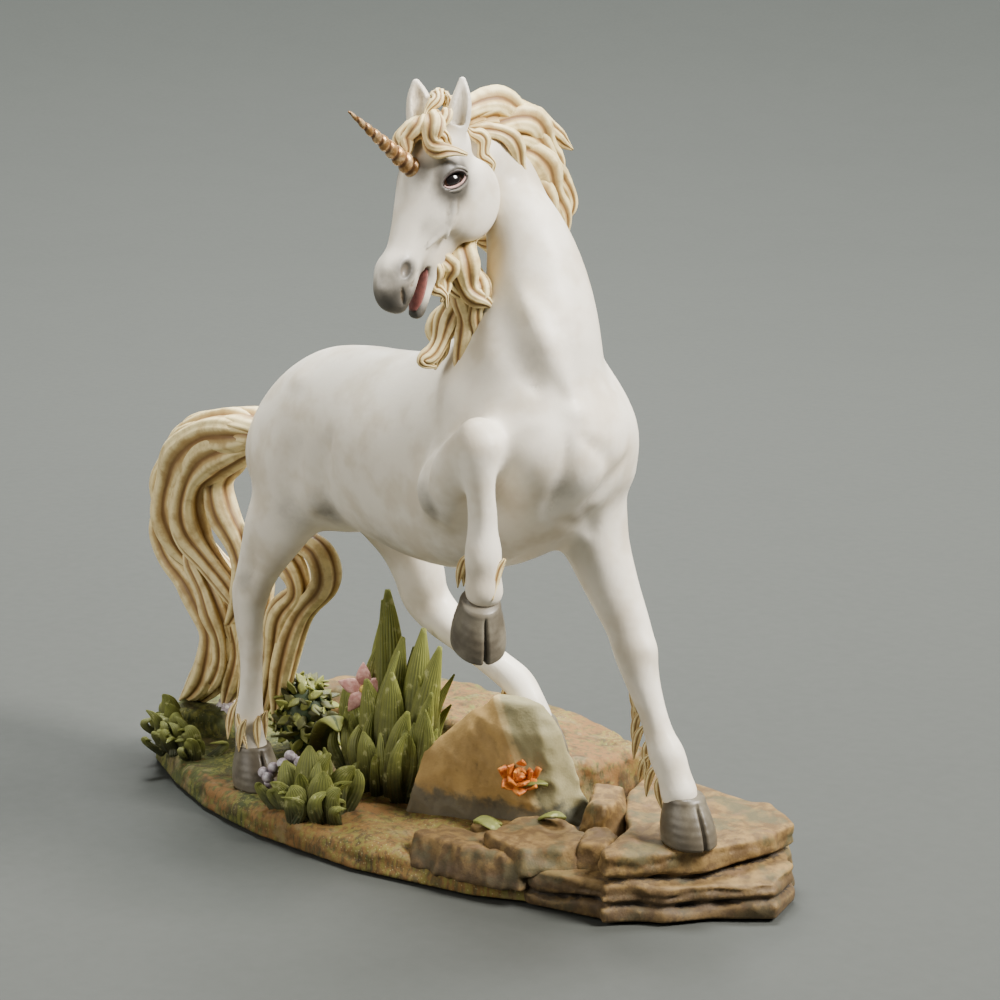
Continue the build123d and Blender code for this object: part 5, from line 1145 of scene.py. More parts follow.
def tufted(rows, width, chance):
    """Blades of grass, each with four smaller ones beside it so that the tuft is thick at its foot."""
    blades = []
    for row in rows:
        blades.append(blade((*row[:6], row[6] * 1.35), 0.4, width, chance, 11))
        for _ in range(4):
            spread = chance.normal(0, 0.2, 2)
            tall = chance.uniform(0.5, 0.98)
            foot, tip = np.array(row[:3]), np.array(row[3:6])
            tip = foot + (tip - foot) * tall
            near = (*(foot[:2] + spread), foot[2], *(tip[:2] + spread * 1.6), tip[2], row[6] * 0.7)
            blades.append(blade(near, 1.1, width, chance))
    return join(*blades)


def feathers(chance):
    """Short locks of hair on the backs of the fetlocks, one at each root."""
    tufts = []
    for root in FEATHER_ROOTS_SHARES:
        lean = chance.normal(0, 0.07, 3)
        rows = [(root[0] + x + lean[0] * k, root[1] + y + lean[1] * k, root[2] + z, wide, thin)
                for k, (x, y, z, wide, thin) in enumerate(FEATHER_FALL_SHARES)]
        tufts.append(lock(rows, FACING_CAMERA_SHARES, strands=5, twist=0.6, depth=0.35, ring=30, fine=6))
    return join(*tufts)


def slab(clay, ring, low, high, soft, taper, rim):
    """Add a flat-topped form to the clay: the meeting, rounded by `rim`, of its outline's distance with the
    distances above its top and below its foot. Its sides slope in by the share `taper` of the height."""
    ring = np.array(ring, float)
    slices, grid = clay.window((*ring.min(0), low), (*ring.max(0), high), 1.0)
    flat = polygon_distance(grid[0][:, :, 0], grid[1][:, :, 0], ring)[:, :, None]
    side = flat + taper * np.maximum(grid[2] - BASE_FOOT_SHARE, 0) + rim
    above = np.maximum(grid[2] - high, low - grid[2]) + rim
    form = np.sqrt(np.maximum(side, 0) ** 2 + np.maximum(above, 0) ** 2) + np.minimum(
        np.maximum(side, above), 0) - rim
    clay.merge(slices, form.astype(np.float32), soft, False)


def roughen(clay, reliefs, seed, foot_fades):
    """Push the clay's surface in and out by layers of relief, which may fade out at the foot."""
    slices, grid = clay.everywhere()
    fade = crown(grid[2], 0.1, 0.5) if foot_fades else 1
    for reach, height, layer, ridged in reliefs:
        uneven = ripple(grid, reach, seed + layer)
        if ridged:
            uneven = 1 - 2 * abs(uneven)
        clay.distance[slices] -= (height * uneven * fade).astype(np.float32)


def cut_flat(clay, level):
    """Take away all the clay below a level, so that the base stands flat."""
    height = clay.axes[2][None, None]
    clay.distance = np.maximum(clay.distance, level - height).astype(np.float32)


def strata(clay):
    """Cut level seams round the sides of layered rock: a groove exp(-(d / w)^2) at each wavy level, which
    is deep in some stretches and shallow in others."""
    slices, grid = clay.everywhere()
    plan = [grid[0], grid[1], 0 * grid[2]]
    for seed, (level, depth, width) in enumerate(STRATA_SHARES):
        waver = ripple(plan, 3.2, seed + 9)
        gap = grid[2] - level - waver * 0.16
        open_share = crown(ripple(plan, 1.7, seed + 30), -0.5, 0.5)
        cut = depth * (0.45 + 0.55 * open_share) * np.exp(-((gap / width) ** 2))
        clay.distance[slices] += cut.astype(np.float32)


def ground_clay(step):
    """The earth and grass slopes of the base in one piece of clay."""
    clay = Clay((-17.9, -4.4, -0.3), (9.9, 9.0, 3.9), step)
    for ring, low, high, soft, taper in GROUND_SHARES:
        slab(clay, ring, low - BURIED_SHARE, high, soft, taper, rim=0.35)
    roughen(clay, GROUND_RELIEF_SHARES, 0, True)
    cut_flat(clay, BASE_FOOT_SHARE)
    return clay


def ledges_clay(step):
    """The two stepped ledges of rock at the front of the base."""
    clay = Clay((-1.6, -1.4, -0.2), (10.2, 8.4, 3.0), step)
    for ring, low, high in LEDGES_SHARES:
        slab(clay, ring, low - BURIED_SHARE, high, soft=0.15, taper=0.03, rim=0.12)
    roughen(clay, LEDGES_RELIEF_SHARES, 0, True)
    strata(clay)
    cut_flat(clay, BASE_FOOT_SHARE)
    return clay


def stone_clay(rings, step, seed):
    """A stone whose outline at each height is between the outlines given above and below it."""
    low = np.array([*np.min([np.min(ring, 0) for _, ring in rings], 0), rings[0][0]]) - 0.5
    high = np.array([*np.max([np.max(ring, 0) for _, ring in rings], 0), rings[-1][0]]) + 0.5
    clay = Clay(low, high, step)
    slices, grid = clay.everywhere()
    form = np.full(clay.distance.shape, FAR, np.float32)
    levels = [level for level, _ in rings]
    for k, z in enumerate(grid[2][0, 0]):
        upper = int(np.clip(np.searchsorted(levels, z), 1, len(levels) - 1))
        share = np.clip((z - levels[upper - 1]) / (levels[upper] - levels[upper - 1]), 0, 1)
        ring = np.array(rings[upper - 1][1]) * (1 - share) + np.array(rings[upper][1]) * share
        flat = polygon_distance(grid[0][:, :, 0], grid[1][:, :, 0], ring)
        form[:, :, k] = np.maximum(flat, max(z - levels[-1], levels[0] - z))
    clay.merge(slices, form, 0.05, False)
    clay.soften(3)
    roughen(clay, STONE_RELIEF_SHARES, seed, False)
    return clay


def bush_surface(chance):
    """A low bush: an ellipsoid of twigs covered with small leaves placed round it by the golden angle."""
    middle, halves = (np.array(part, float) for part in BUSH_SHARES)
    leaves = [sphere(middle, halves * 0.86, groove=1.0, rise=0.0)]
    for k in range(150):
        z = 1 - 1.6 * (k + 0.5) / 150
        turn = k * 2.39996
        normal = np.array([math.cos(turn) * math.sqrt(1 - z * z), math.sin(turn) * math.sqrt(1 - z * z), z])
        spot = middle + normal * halves * chance.uniform(0.78, 0.92)
        out = unit(np.cross(normal, chance.normal(size=3)) + 0.5 * normal)
        leaves.append(petal(spot, out, normal, 0.5, 0.17, 0.1, 0.05, 0.06, rise=chance.uniform(0.2, 1)))
    return join(*leaves)


def round_about(facing, upright, count, start):
    """Directions square to the one that a flower faces, evenly spread round it."""
    side = unit(np.cross(facing, upright))
    top = np.cross(side, facing)
    turns = [2 * np.pi * k / count + start for k in range(count)]
    return [side * math.cos(turn) + top * math.sin(turn) for turn in turns]


def lily_surface():
    """Five pointed petals round a small heart, bent back at their tips, with a stem below."""
    middle, facing = np.array(LILY_SHARES), unit(np.array(FACING_CAMERA_SHARES))
    parts = [sphere(middle + facing * 0.1, 0.16, heart=1.0),
             sweep([(*(middle - facing * 0.1), 0.1, 0.1), (*(middle - [0.1, 0, 1.0]), 0.09, 0.09),
                    (*(middle - [0.2, 0.1, 2.6]), 0.1, 0.1)], (1, 0, 0), 10, 6, stem=1.0)]
    for away in round_about(facing, [0, 0, 1], 5, 0.3):
        parts.append(petal(middle, away + facing * 0.35, facing, 0.95, 0.27, -0.2, 0.06, 0.12))
    return join(*parts)


def rose_surface():
    """A rose: rings of cupped petals, three inside, five in the middle and seven opened outside."""
    middle, facing = np.array(ROSE_SHARES), unit(np.array(ROSE_FACING_SHARES))
    parts = [sphere(middle, (0.2, 0.2, 0.24))]
    for count, lean, length, start in ((3, 0.25, 0.42, 0.1), (5, 0.75, 0.55, 0.5), (7, 1.7, 0.62, 0.2)):
        for away in round_about(facing, [0, 0, 1], count, start):
            root = middle - facing * 0.15 + away * 0.08 * lean
            parts.append(petal(root, away * lean + facing, facing - away, length, 0.26, -0.02, 0.06, -0.08))
    return join(*parts)


def leaf_surface(rows):
    """Broad leaves lying out from the foot of the rose, each turned by its own angle."""
    leaves = []
    for x, y, z, turn in rows:
        out = turned(turn, -25, 0)[:, 0]
        leaves.append(petal((x, y, z), out, (0, 0, 1), 1.0, 0.3, -0.25, 0.07, 0.08, rise=0.6))
    return join(*leaves)


def daisy_surface(middle, facing, petals, length, width):
    """A small open flower: a ring of petals round a button."""
    middle, facing = np.array(middle), unit(np.array(facing, float))
    parts = [sphere(middle + facing * 0.05, length * 0.3, heart=1.0)]
    for away in round_about(facing, [0.1, 1, 0.2], petals, 0):
        out = away + facing * 0.25
        parts.append(petal(middle, out, facing, length, width, -0.05, length * 0.12, 0.04))
    return join(*parts)


class Value:
    """A number inside a shader, which can be added, subtracted and multiplied."""

    def __init__(self, paint, socket):
        self.paint = paint
        self.socket = socket

    def __add__(self, other):
        return self.paint.sum("ADD", self, other)

    def __radd__(self, other):
        return self.paint.sum("ADD", other, self)

    def __sub__(self, other):
        return self.paint.sum("SUBTRACT", self, other)

    def __rsub__(self, other):
        return self.paint.sum("SUBTRACT", other, self)

    def __mul__(self, other):
        return self.paint.sum("MULTIPLY", self, other)


class Paint:
    """A material whose colour, roughness and relief are worked out from place and from the piece's marks."""

    def __init__(self, name):
        self.material = bpy.data.materials.new(f"paint_{name}")
        self.material.use_nodes = True
        self.tree = self.material.node_tree
        self.shader = self.tree.nodes["Principled BSDF"]
        self.place = self.node("ShaderNodeTexCoord").outputs["Object"]
        self.colour = None

    def node(self, kind, inputs=None, **settings):
        """A shader node with its settings, and its inputs linked or set."""
        made = self.tree.nodes.new(kind)
        for setting, value in settings.items():
            setattr(made, setting, value)
        for socket, value in (inputs or {}).items():
            self.feed(made.inputs[socket], value)
        return made

    def feed(self, socket, value):
        """Link a worked-out value to a socket, or set a plain one on it."""
        if isinstance(value, Value):
            self.tree.links.new(value.socket, socket)
        elif hasattr(value, "is_output"):
            self.tree.links.new(value, socket)
        else:
            socket.default_value = value

    def sum(self, operation, one, two):
        """One step of arithmetic."""
        return Value(self, self.node("ShaderNodeMath", {0: one, 1: two}, operation=operation).outputs[0])

    def smooth(self, value, low, high):
        """Zero below low, one above high, and smooth in between."""
        made = self.node("ShaderNodeMapRange", {"Value": value, "From Min": low, "From Max": high},
                         interpolation_type="SMOOTHSTEP")
        return Value(self, made.outputs["Result"])

    def mark(self, name):
        """One of the marks on the piece's points."""
        made = self.node("ShaderNodeAttribute", attribute_name=name)
        return Value(self, made.outputs["Fac"])

    def noise(self, size, detail, stretch=(1, 1, 1)):
        """Cloudy values round a half, with clouds of about `size` metres."""
        place = self.node("ShaderNodeMapping", {"Vector": self.place, "Scale": stretch}).outputs[0]
        made = self.node("ShaderNodeTexNoise", {"Vector": place, "Scale": 1 / size, "Detail": detail,
                                                "Roughness": 0.58})
        return Value(self, made.outputs[0])

    def cells(self, size):
        """The distance to the nearest of many scattered points, as a share of their spacing."""
        made = self.node("ShaderNodeTexVoronoi", {"Vector": self.place, "Scale": 1 / size})
        return Value(self, made.outputs["Distance"])

    def mix(self, one, two, share):
        """A colour between two others."""
        made = self.node("ShaderNodeMix", data_type="RGBA")
        for number, value in ((0, share), (6, one), (7, two)):
            if isinstance(value, (Value, float, int)):
                self.feed(made.inputs[number], value)
            else:
                self.feed(made.inputs[number], (*tuple(value)[:3], 1.0))
        return Value(self, made.outputs[2])

    def over(self, colour, share):
        """Lay a share of another colour over the paint so far."""
        self.colour = self.mix(self.colour, colour, share)

    def finish(self, rough, relief, depth, metallic=0.0, coat=0.0):
        """Join the worked-out values to the shader: relief is a height of up to `depth` metres."""
        for socket, value in (("Base Color", self.colour), ("Roughness", rough), ("Metallic", metallic),
                              ("Coat Weight", coat)):
            self.feed(self.shader.inputs[socket], value)
        bump = self.node("ShaderNodeBump", {"Height": relief, "Distance": depth, "Strength": 0.6})
        self.tree.links.new(bump.outputs[0], self.shader.inputs["Normal"])
        return self.material


def coat_paint(colours):
    """Ivory paint with warm clouds, a painted highlight on its ridges, painted shade in its hollows, and grey
    brushed round muzzle and joints that is partly painted shade.
    """
    paint = Paint("coat")
    cloud, fine, brushed = paint.noise(0.016, 3.0), paint.noise(0.0011, 5.0), paint.noise(0.0035, 5.0)
    paint.colour = paint.mix(colours.coat, colours.coat_warm, paint.smooth(cloud, 0.42, 0.68) * 0.5)
    # Painted highlight: a near white laid on the ridges of the coat
    ridge_highlight = paint.smooth(paint.mark("hollow") * -1.0, 0.06, 0.4)
    paint.over(TINTS["coat"][0], ridge_highlight * 0.3)
    # Grey spots: the coat's own grey round muzzle, eyes and fetlocks, and painted shade in creases, under the
    # belly and on the neck's side away from the light
    shade = paint.smooth(paint.mark("shade") + (brushed - 0.5) * 0.25, 0.04, 0.8)
    paint.over(colours.coat_shade, shade * 0.93)
    # Painted shade: a dark brown laid in the hollows of the coat
    darkening = paint.smooth(paint.mark("hollow") + (brushed - 0.5) * 0.04, 0.01, 0.4)
    paint.over(colours.coat_wash, darkening * 0.7)
    return paint.finish(0.42 + fine * 0.16, fine * 0.5 + brushed * 0.5, 0.00012, coat=0.05)


def groove_darkened_paint(name, base, mark, reach, size, rough, depth, metallic=0.0):
    """Paint with clouds of a lighter tone, which darkens where the mark is high."""
    paint = Paint(name)
    light, deep = TINTS[name]
    cloud, fine = paint.noise(size, 5.0), paint.noise(0.0004, 4.0)
    paint.colour = paint.mix(base, light, paint.smooth(cloud, 0.4, 0.65))
    darkening = paint.smooth(paint.mark(mark) + (cloud - 0.5) * 0.4 + (fine - 0.5) * 0.2, *reach)
    paint.over(deep, darkening * 0.88)
    return paint.finish(rough + fine * 0.15, fine * 0.6 + cloud * 0.4, depth, metallic)


def hair_paint(colours):
    """Cream hair that darkens to tan and then brown in the grooves between strands."""
    paint = Paint("hair")
    cloud, fine = paint.noise(0.005, 4.0), paint.noise(0.0005, 4.0)
    groove = paint.mark("groove") + (cloud - 0.5) * 0.35
    paint.colour = paint.mix(colours.hair, colours.hair_mid, paint.smooth(cloud, 0.4, 0.7) * 0.6)
    paint.over(colours.hair_mid, paint.smooth(groove, 0.06, 0.4) * 0.85)
    paint.over(colours.hair_deep, paint.smooth(groove, 0.35, 0.85) * 0.9)
    return paint.finish(0.46 + fine * 0.15, fine * 0.4 - groove * 0.6, 0.0003)


def rock_paint(colours, name, faced):
    """Ochre stone with tan and pale green patches, painted shade in its cracks and low down, a painted
    highlight on its bumps, and grey-blue near its foot.
    A `faced` one turns pale green on the far side of a slanting ridge."""
    paint = Paint(name)
    brown, shadow, ridge, pale = TINTS["rock"]
    patch, cloud, fine = paint.noise(0.012, 4.0), paint.noise(0.004, 6.0), paint.noise(0.0007, 5.0)
    paint.colour = paint.mix(colours.rock, colours.rock_light, paint.smooth(cloud, 0.42, 0.62))
    paint.over(colours.rock_green, paint.smooth(patch, 0.5, 0.62) * 0.6)
    paint.over(brown, paint.smooth(paint.noise(0.007, 6.0), 0.56, 0.7) * 0.7)
    apart = paint.node("ShaderNodeSeparateXYZ", {"Vector": paint.place}).outputs
    east, north, height = (Value(paint, socket) for socket in apart)
    foot = paint.smooth(RIDGE_FOOT - height + (cloud - 0.5) * 0.012, -0.002, 0.003)
    low = paint.smooth(LEDGE_SHADE - height + (cloud - 0.5) * 0.008, -0.001, 0.004)
    paint.over(shadow, low * 0.55)
    if faced:
        paint.over(colours.rock_bright, 0.55 + paint.smooth(patch, 0.35, 0.65) * 0.35)
        beyond = east * 0.64 + north * 0.77 + (height - RIDGE_TOP) * 0.38 - RIDGE_PLACE
        side = paint.smooth(beyond + (cloud - 0.5) * 0.006, -0.001, 0.002)
        paint.over(colours.rock_pale, side * 0.75)
        # Painted highlight: a light band along the ridge between the boulder's two faces
        ridge_highlight = paint.smooth(0.0016 - beyond, 0.0, 0.0012) * paint.smooth(beyond + 0.002, 0.0, 0.0012)
        paint.over(ridge, ridge_highlight * 0.5)
    paint.over(colours.rock_foot, foot * (0.8 if faced else 0.08))
    # Painted shade: a dark tone laid in the cracks of the stone
    darkening = paint.smooth(paint.mark("hollow") + (cloud - 0.5) * 0.7, 0.0, 0.42)
    paint.over(colours.rock_deep, darkening * 0.85)
    # Painted highlight: a pale tone laid on the bumps of the stone
    bump_highlight = paint.smooth(paint.mark("hollow") * -1.0 + (fine - 0.5) * 0.4, 0.08, 0.45)
    paint.over(pale, bump_highlight * 0.3)
    return paint.finish(0.62 + fine * 0.2, cloud * 0.6 + fine * 0.4, 0.0005)


def earth_paint(colours):
    """Mossy ground: patches of green and brown, with painted shade in the hollows and speckles of light."""
    paint = Paint("earth")
    hollow_shade_tone, brown, straw, shadow, light = TINTS["earth"]
    patch, cloud, fine = paint.noise(0.018, 4.0), paint.noise(0.003, 6.0), paint.noise(0.0006, 5.0)
    apart = paint.node("ShaderNodeSeparateXYZ", {"Vector": paint.place}).outputs
    east = Value(paint, apart[0])
    green = paint.smooth(patch + (cloud - 0.5) * 0.5 - (east + GREEN_PLACE) * 4.0, 0.42, 0.6)
    paint.colour = paint.mix(colours.earth, colours.moss, green)
    paint.over(colours.moss_light, paint.smooth(cloud, 0.52, 0.68) * 0.55)
    # Painted shade: a dark tone laid in the hollows of the ground
    darkening = paint.smooth(paint.mark("hollow") + (cloud - 0.5) * 0.7, 0.0, 0.45)
    paint.over(hollow_shade_tone, darkening * 0.8)
    stain = paint.smooth(paint.noise(0.008, 6.0), 0.5, 0.64)
    paint.over(brown, stain * 0.75)
    pale = paint.smooth(0.45 - paint.noise(0.011, 5.0), 0.0, 0.1)
    paint.over(straw, pale * 0.6)
    streak = paint.noise(0.0016, 4.0, (1, 1, 0.22))
    blades = paint.smooth(streak, 0.44, 0.6) * paint.smooth(patch, 0.42, 0.6)
    paint.over(colours.moss_light, blades * 0.6)
    paint.over(shadow, paint.smooth(0.47 - streak, 0.0, 0.1) * 0.6)
    speck = paint.smooth(0.35 - paint.cells(0.0013), 0.1, 0.3) * paint.smooth(patch, 0.45, 0.6)
    paint.over(light, speck * 0.5)
    return paint.finish(0.7 + fine * 0.2, cloud * 0.4 + streak * 0.4 + fine * 0.2, 0.001)


def leaf_paint(colours, name, pale):
    """Green leaves, dark at the foot and in the ribs, and pale at their tips."""
    paint = Paint(name)
    cloud, fine = paint.noise(0.0035, 5.0), paint.noise(0.0006, 4.0)
    rise = paint.smooth(paint.mark("rise") + (cloud - 0.5) * 0.6, 0.1, 0.95)
    paint.colour = paint.mix(colours.leaf_dark, pale, rise)
    groove = paint.mark("groove") + (fine - 0.5) * 0.2
    dark, light = TINTS["leaf"]
    paint.over(dark, paint.smooth(groove, 0.15, 0.8) * 0.8)
    paint.over(light, paint.smooth(cloud, 0.58, 0.72) * 0.5)
    return paint.finish(0.5 + fine * 0.2, fine * 0.4 - groove * 0.6, 0.0003)


def flower_paint(name, petal_colour):
    """Petals that deepen in their folds, with a heart and a stem of other colours."""
    paint = Paint(name)
    edge, deep, heart = TINTS[name]
    cloud, fine = paint.noise(0.002, 5.0), paint.noise(0.0005, 4.0)
    paint.colour = paint.mix(petal_colour, edge, paint.smooth(cloud, 0.4, 0.65))
    groove = paint.mark("groove") + (cloud - 0.5) * 0.3
    paint.over(deep, paint.smooth(groove, 0.15, 0.9) * 0.8)
    paint.over(heart, paint.mark("heart"))
    paint.over(TINTS["stem"][0], paint.mark("stem"))
    return paint.finish(0.42 + fine * 0.15, fine * 0.5 - groove * 0.5, 0.0002)


def eye_paint(colours):
    """A glossy eye: black pupil, brown iris with a dark rim, and a pinkish white round it."""
    paint = Paint("eye")
    gaze, fine = paint.mark("gaze"), paint.noise(0.0004, 4.0)
    pupil, rim, white = TINTS["eye"]
    paint.colour = paint.mix(pupil, colours.iris, paint.smooth(gaze + (fine - 0.5) * 0.05, 0.4, 0.46))
    paint.over(rim, paint.smooth(gaze, 0.56, 0.6))
    paint.over(white, paint.smooth(gaze, 0.66, 0.72))
    return paint.finish(0.08 + fine * 0.05, fine, 0.00001, coat=0.9)


def plain_paint(name, colour, dark, size, rough, metallic=0.0):
    """A colour with fine clouds of a darker one."""
    paint = Paint(name)
    cloud, fine = paint.noise(size, 6.0), paint.noise(size / 8, 4.0)
    paint.colour = paint.mix(colour, dark, paint.smooth(cloud + (fine - 0.5) * 0.4, 0.4, 0.7) * 0.7)
    return paint.finish(rough + fine * 0.12, cloud * 0.5 + fine * 0.5, 0.0002, metallic)


class FigurineSizes(bpy.types.PropertyGroup):
    """Sizes of the figurine."""

    __annotations__ = {name: bpy.props.FloatProperty(
        name=name.replace("_", " ").capitalize(), description=what, default=value, min=0.0, precision=5,
        unit="LENGTH", subtype="DISTANCE") for name, (what, value) in SIZES.items()}


class FigurineColours(bpy.types.PropertyGroup):
    """Paint colours of the figurine."""

    __annotations__ = {name: bpy.props.FloatVectorProperty(
        name=name.replace("_", " ").capitalize(), description=what, default=value, subtype="COLOR", size=3,
        min=0.0, max=1.0) for name, (what, value) in COLOURS.items()}


class FigurineStep:
    """What all the building steps share: they run one function with the sizes and colours."""

    bl_options = {"REGISTER", "UNDO"}

    def execute(self, context):
        self.build(context.scene.figurine_sizes, context.scene.figurine_colours)
        return {"FINISHED"}


class AddBody(FigurineStep, bpy.types.Operator):
    """Adds the horse's trunk, neck and legs."""

    bl_idname = "figurine.body"
    bl_label = "Body"

    def build(self, sizes, colours):
        cell = sizes.body_cell * 1
        surface = clay_surface(body_clay(cell / sizes.hand), BODY_SHADES_SHARES)
        add_piece("horse_body", surface, coat_paint(colours), "coat", [
            "torso", "neck", "right_hind_leg", "left_hind_leg", "left_fore_leg", "right_forearm",
            "right_cannon"])


class AddHead(FigurineStep, bpy.types.Operator):
    """Adds the head with its jaw and ears."""

    bl_idname = "figurine.head"
    bl_label = "Head"

    def build(self, sizes, colours):
        cell = sizes.head_cell * 1
        spots = [(head_point(*place), reach, strength) for place, reach, strength in HEAD_SHADES_SHARES]
        add_piece("horse_head", clay_surface(head_clay(cell / sizes.hand), spots, 3),
                  bpy.data.materials["paint_coat"], "coat",
                  ["head", "lower_jaw", "right_ear", "left_ear"])


class AddFace(FigurineStep, bpy.types.Operator):
    """Adds the horn, the eyes with their lids, and the tongue."""

    bl_idname = "figurine.face"
    bl_label = "Horn, eyes and tongue"

    def build(self, sizes, colours):
        hand = sizes.hand
        horn = groove_darkened_paint("horn", colours.horn, "groove", (0.25, 0.95), 0.002, 0.3, 0.0001, 0.6)
        surface = horn_surface(sizes.horn_length, sizes.horn_diameter, HORN_TURNS, hand)
        add_piece("spiral_horn", surface, horn, "horn", ["horn"])
        balls = join(*[eye_surface(side, sizes.eye_radius / hand) for side in (-1, 1)])
        add_piece("eyeballs", balls, eye_paint(colours), "eye", ["eyes"])
        dark = plain_paint("eyelid_line", *TINTS["eyelid_line"], 0.001, 0.4)
        pink = plain_paint("eyelid_rim", *TINTS["eyelid_rim"], 0.001, 0.3)
        coat = bpy.data.materials["paint_coat"]
        for name, rims, paint, slot in (
                ("eyelid_lines", ("upper_line", "lower_line"), dark, "eye"),
                ("eyelid_rims", ("lower_rim",), pink, "tongue"),
                ("eyelids", ("fold", "bag"), coat, "coat")):
            lids = [lid(side, *LIDS_SHARES[rim]) for rim in rims for side in (-1, 1)]
            add_piece(name, join(*lids), paint, slot, [])
        tongue = plain_paint("tongue", colours.tongue, *TINTS["tongue"], 0.0012, 0.25)
        surface = sweep(head_rows(TONGUE_SHARES), ASIDE, 24, 8)
        add_piece("tongue_tip", surface, tongue, "tongue", ["tongue"])


class AddHooves(FigurineStep, bpy.types.Operator):
    """Adds the four cleft hooves and the hair above them."""

    bl_idname = "figurine.hooves"
    bl_label = "Hooves"

    def build(self, sizes, colours):
        paint = groove_darkened_paint("hoof", colours.hoof, "groove", (0.3, 1.0), 0.012, 0.34, 0.0001)
        for node, (place, yaw, pitch) in HOOVES_SHARES.items():
            surface = hoof_surface(place, yaw, pitch, sizes)
            add_piece(f"cleft_{node}", surface, paint, "hoof", [node])
        add_piece("fetlock_hair", feathers(np.random.default_rng(3)), hair_paint(colours), "hair",
                  ["fetlock_feathers"])


class AddHair(FigurineStep, bpy.types.Operator):
    """Adds the mane, the forelock, the beard and the tail, lock by lock."""

    bl_idname = "figurine.hair"
    bl_label = "Mane and tail"

    def build(self, sizes, colours):
        paint = bpy.data.materials["paint_hair"]
        groups = [(node, MANE_SHARES, numbers, MANE_FULLNESS_SHARES, FACING_CAMERA_SHARES)
                  for node, numbers in MANE_PIECES.items()]
        groups += [
            ("mane_near_lock", NEAR_MANE_SHARES, range(len(NEAR_MANE_SHARES)), MANE_FULLNESS_SHARES,
             FACING_CAMERA_SHARES),
            ("left_forelock", FORELOCK_SHARES, (0, 2, 3), (1, 1), OUTWARD),
            ("right_forelock", FORELOCK_SHARES, (1, 4), (1, 1), OUTWARD),
            ("beard", BEARD_SHARES, (0, 1), (1, 1), FACING_CAMERA_SHARES)]
        groups += [(node, TAIL_SHARES, numbers, TAIL_FULLNESS_SHARES, TAIL_FACING_SHARES)
                   for node, numbers in TAIL_PIECES.items()]
        for node, table, numbers, fullness, facing in groups:
            root = 1.0 if node == "tail_crown" else HAIR_ROOT_SHARE
            locks = []
            for k, number in enumerate(numbers):
                rows = waved(fuller(table[number], *fullness), facing, HAIR_SWING_SHARE, 1.7 * k, root)
                locks.append(lock(rows, facing, strands=5 + k % 3, twist=1.5 + 0.9 * (k % 2), depth=0.26,
                                  ring=72, fine=3))
            add_piece(f"{node}_hair", join(*locks), paint, "hair", [node])


class AddBase(FigurineStep, bpy.types.Operator):
    """Adds the ground, the ledges and the stones of the base."""

    bl_idname = "figurine.base"
    bl_label = "Base"

    def build(self, sizes, colours):
        cell = sizes.rock_cell / sizes.hand * 1
        add_piece("mossy_ground", clay_surface(ground_clay(cell)), earth_paint(colours), "earth",
                  ["base_slab", "rear_mound", "left_bank"])
        rock = rock_paint(colours, "rock", False)
        boulder = rock_paint(colours, "boulder", True)
        add_piece("rock_ledges", clay_surface(ledges_clay(cell)), rock, "rock",
                  ["lower_ledge", "upper_ledge"])
        for number, (node, rings) in enumerate(STONES_SHARES.items()):
            surface = clay_surface(stone_clay(rings, cell * 0.75, 20 + 7 * number))
            paint = boulder if node == "boulder" else rock
            add_piece(f"rough_{node}", surface, paint, "rock", [node])


class AddPlants(FigurineStep, bpy.types.Operator):
    """Adds the grass, the bush, the leaves and the flowers."""

    bl_idname = "figurine.plants"
    bl_label = "Plants"

    def build(self, sizes, colours):
        hand, chance = sizes.hand, np.random.default_rng(11)
        green = leaf_paint(colours, "foliage", tuple(colours.leaf))
        for node, rows in (("tall_grass", TALL_GRASS_SHARES), ("front_tuft", FRONT_TUFT_SHARES),
                           ("bank_grass", BANK_GRASS_SHARES)):
            blades = tufted(rows, sizes.blade_width / hand, chance)
            add_piece(f"{node}_blades", blades, green, "foliage", [node])
        add_piece("leafy_bush", bush_surface(chance), green, "foliage", ["bush"])
        arched = sweep(ARCHED_LEAF_SHARES, (0.3, 1, 0), 20, 8, groove=lambda phi, t: np.exp(
            -((np.cos(phi) / 0.2) ** 2)), rise=lambda phi, t: t)
        add_piece("arched_leaf_blade", arched, green, "foliage", ["arched_leaf"])
        leaves = leaf_surface(ROSE_LEAVES_SHARES)
        add_piece("rose_leaf_spray", leaves, green, "foliage", ["rose_leaves"])
        rose, lily, yellow, lilac = (flower_paint(name, getattr(colours, name))
                                     for name in ("rose", "lily", "yellow", "lilac"))
        add_piece("rose_head", rose_surface(), rose, "rose", ["orange_rose"])
        add_piece("lily_flower", lily_surface(), lily, "lily", ["pink_lily"])
        surface = daisy_surface(YELLOW_SHARES, YELLOW_FACING_SHARES, 6, 0.32, 0.12)
        add_piece("yellow_daisy", surface, yellow, "yellow", ["yellow_flower"])
        # Painted shade: the lilac deepens towards the lower side of each berry, through its groove mark
        berries = join(*[sphere(place, 0.19, stem=0.0, groove=lambda p: crown(-p[:, 2] / 0.19, -0.2, 1))
                         for place in BERRIES_SHARES])
        add_piece("berry_cluster", berries, lilac, "lilac", ["lilac_berries"])
        size = sizes.blossom_size / hand
        blossom = join(*[daisy_surface(place, BLOSSOM_FACING_SHARES, 5, size, size * 0.42)
                         for place in BLOSSOMS_SHARES])
        add_piece("blossom_cluster", blossom, lilac, "lilac", ["lilac_blossom"])


class PaintFixings(FigurineStep, bpy.types.Operator):
    """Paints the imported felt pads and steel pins, which keep their shapes."""

    bl_idname = "figurine.fixings"
    bl_label = "Pads and pins"

    def build(self, sizes, colours):
        felt = plain_paint("felt", *TINTS["felt"], 0.0008, 0.85)
        steel = plain_paint("steel", *TINTS["steel"], 0.001, 0.3, 0.95)
        for node, paint in (("felt_pads", felt), ("horn_pin", steel), ("leg_pins", steel),
                            ("body_pins", steel)):
            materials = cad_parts[node].data.materials
            materials.clear()
            materials.append(paint)


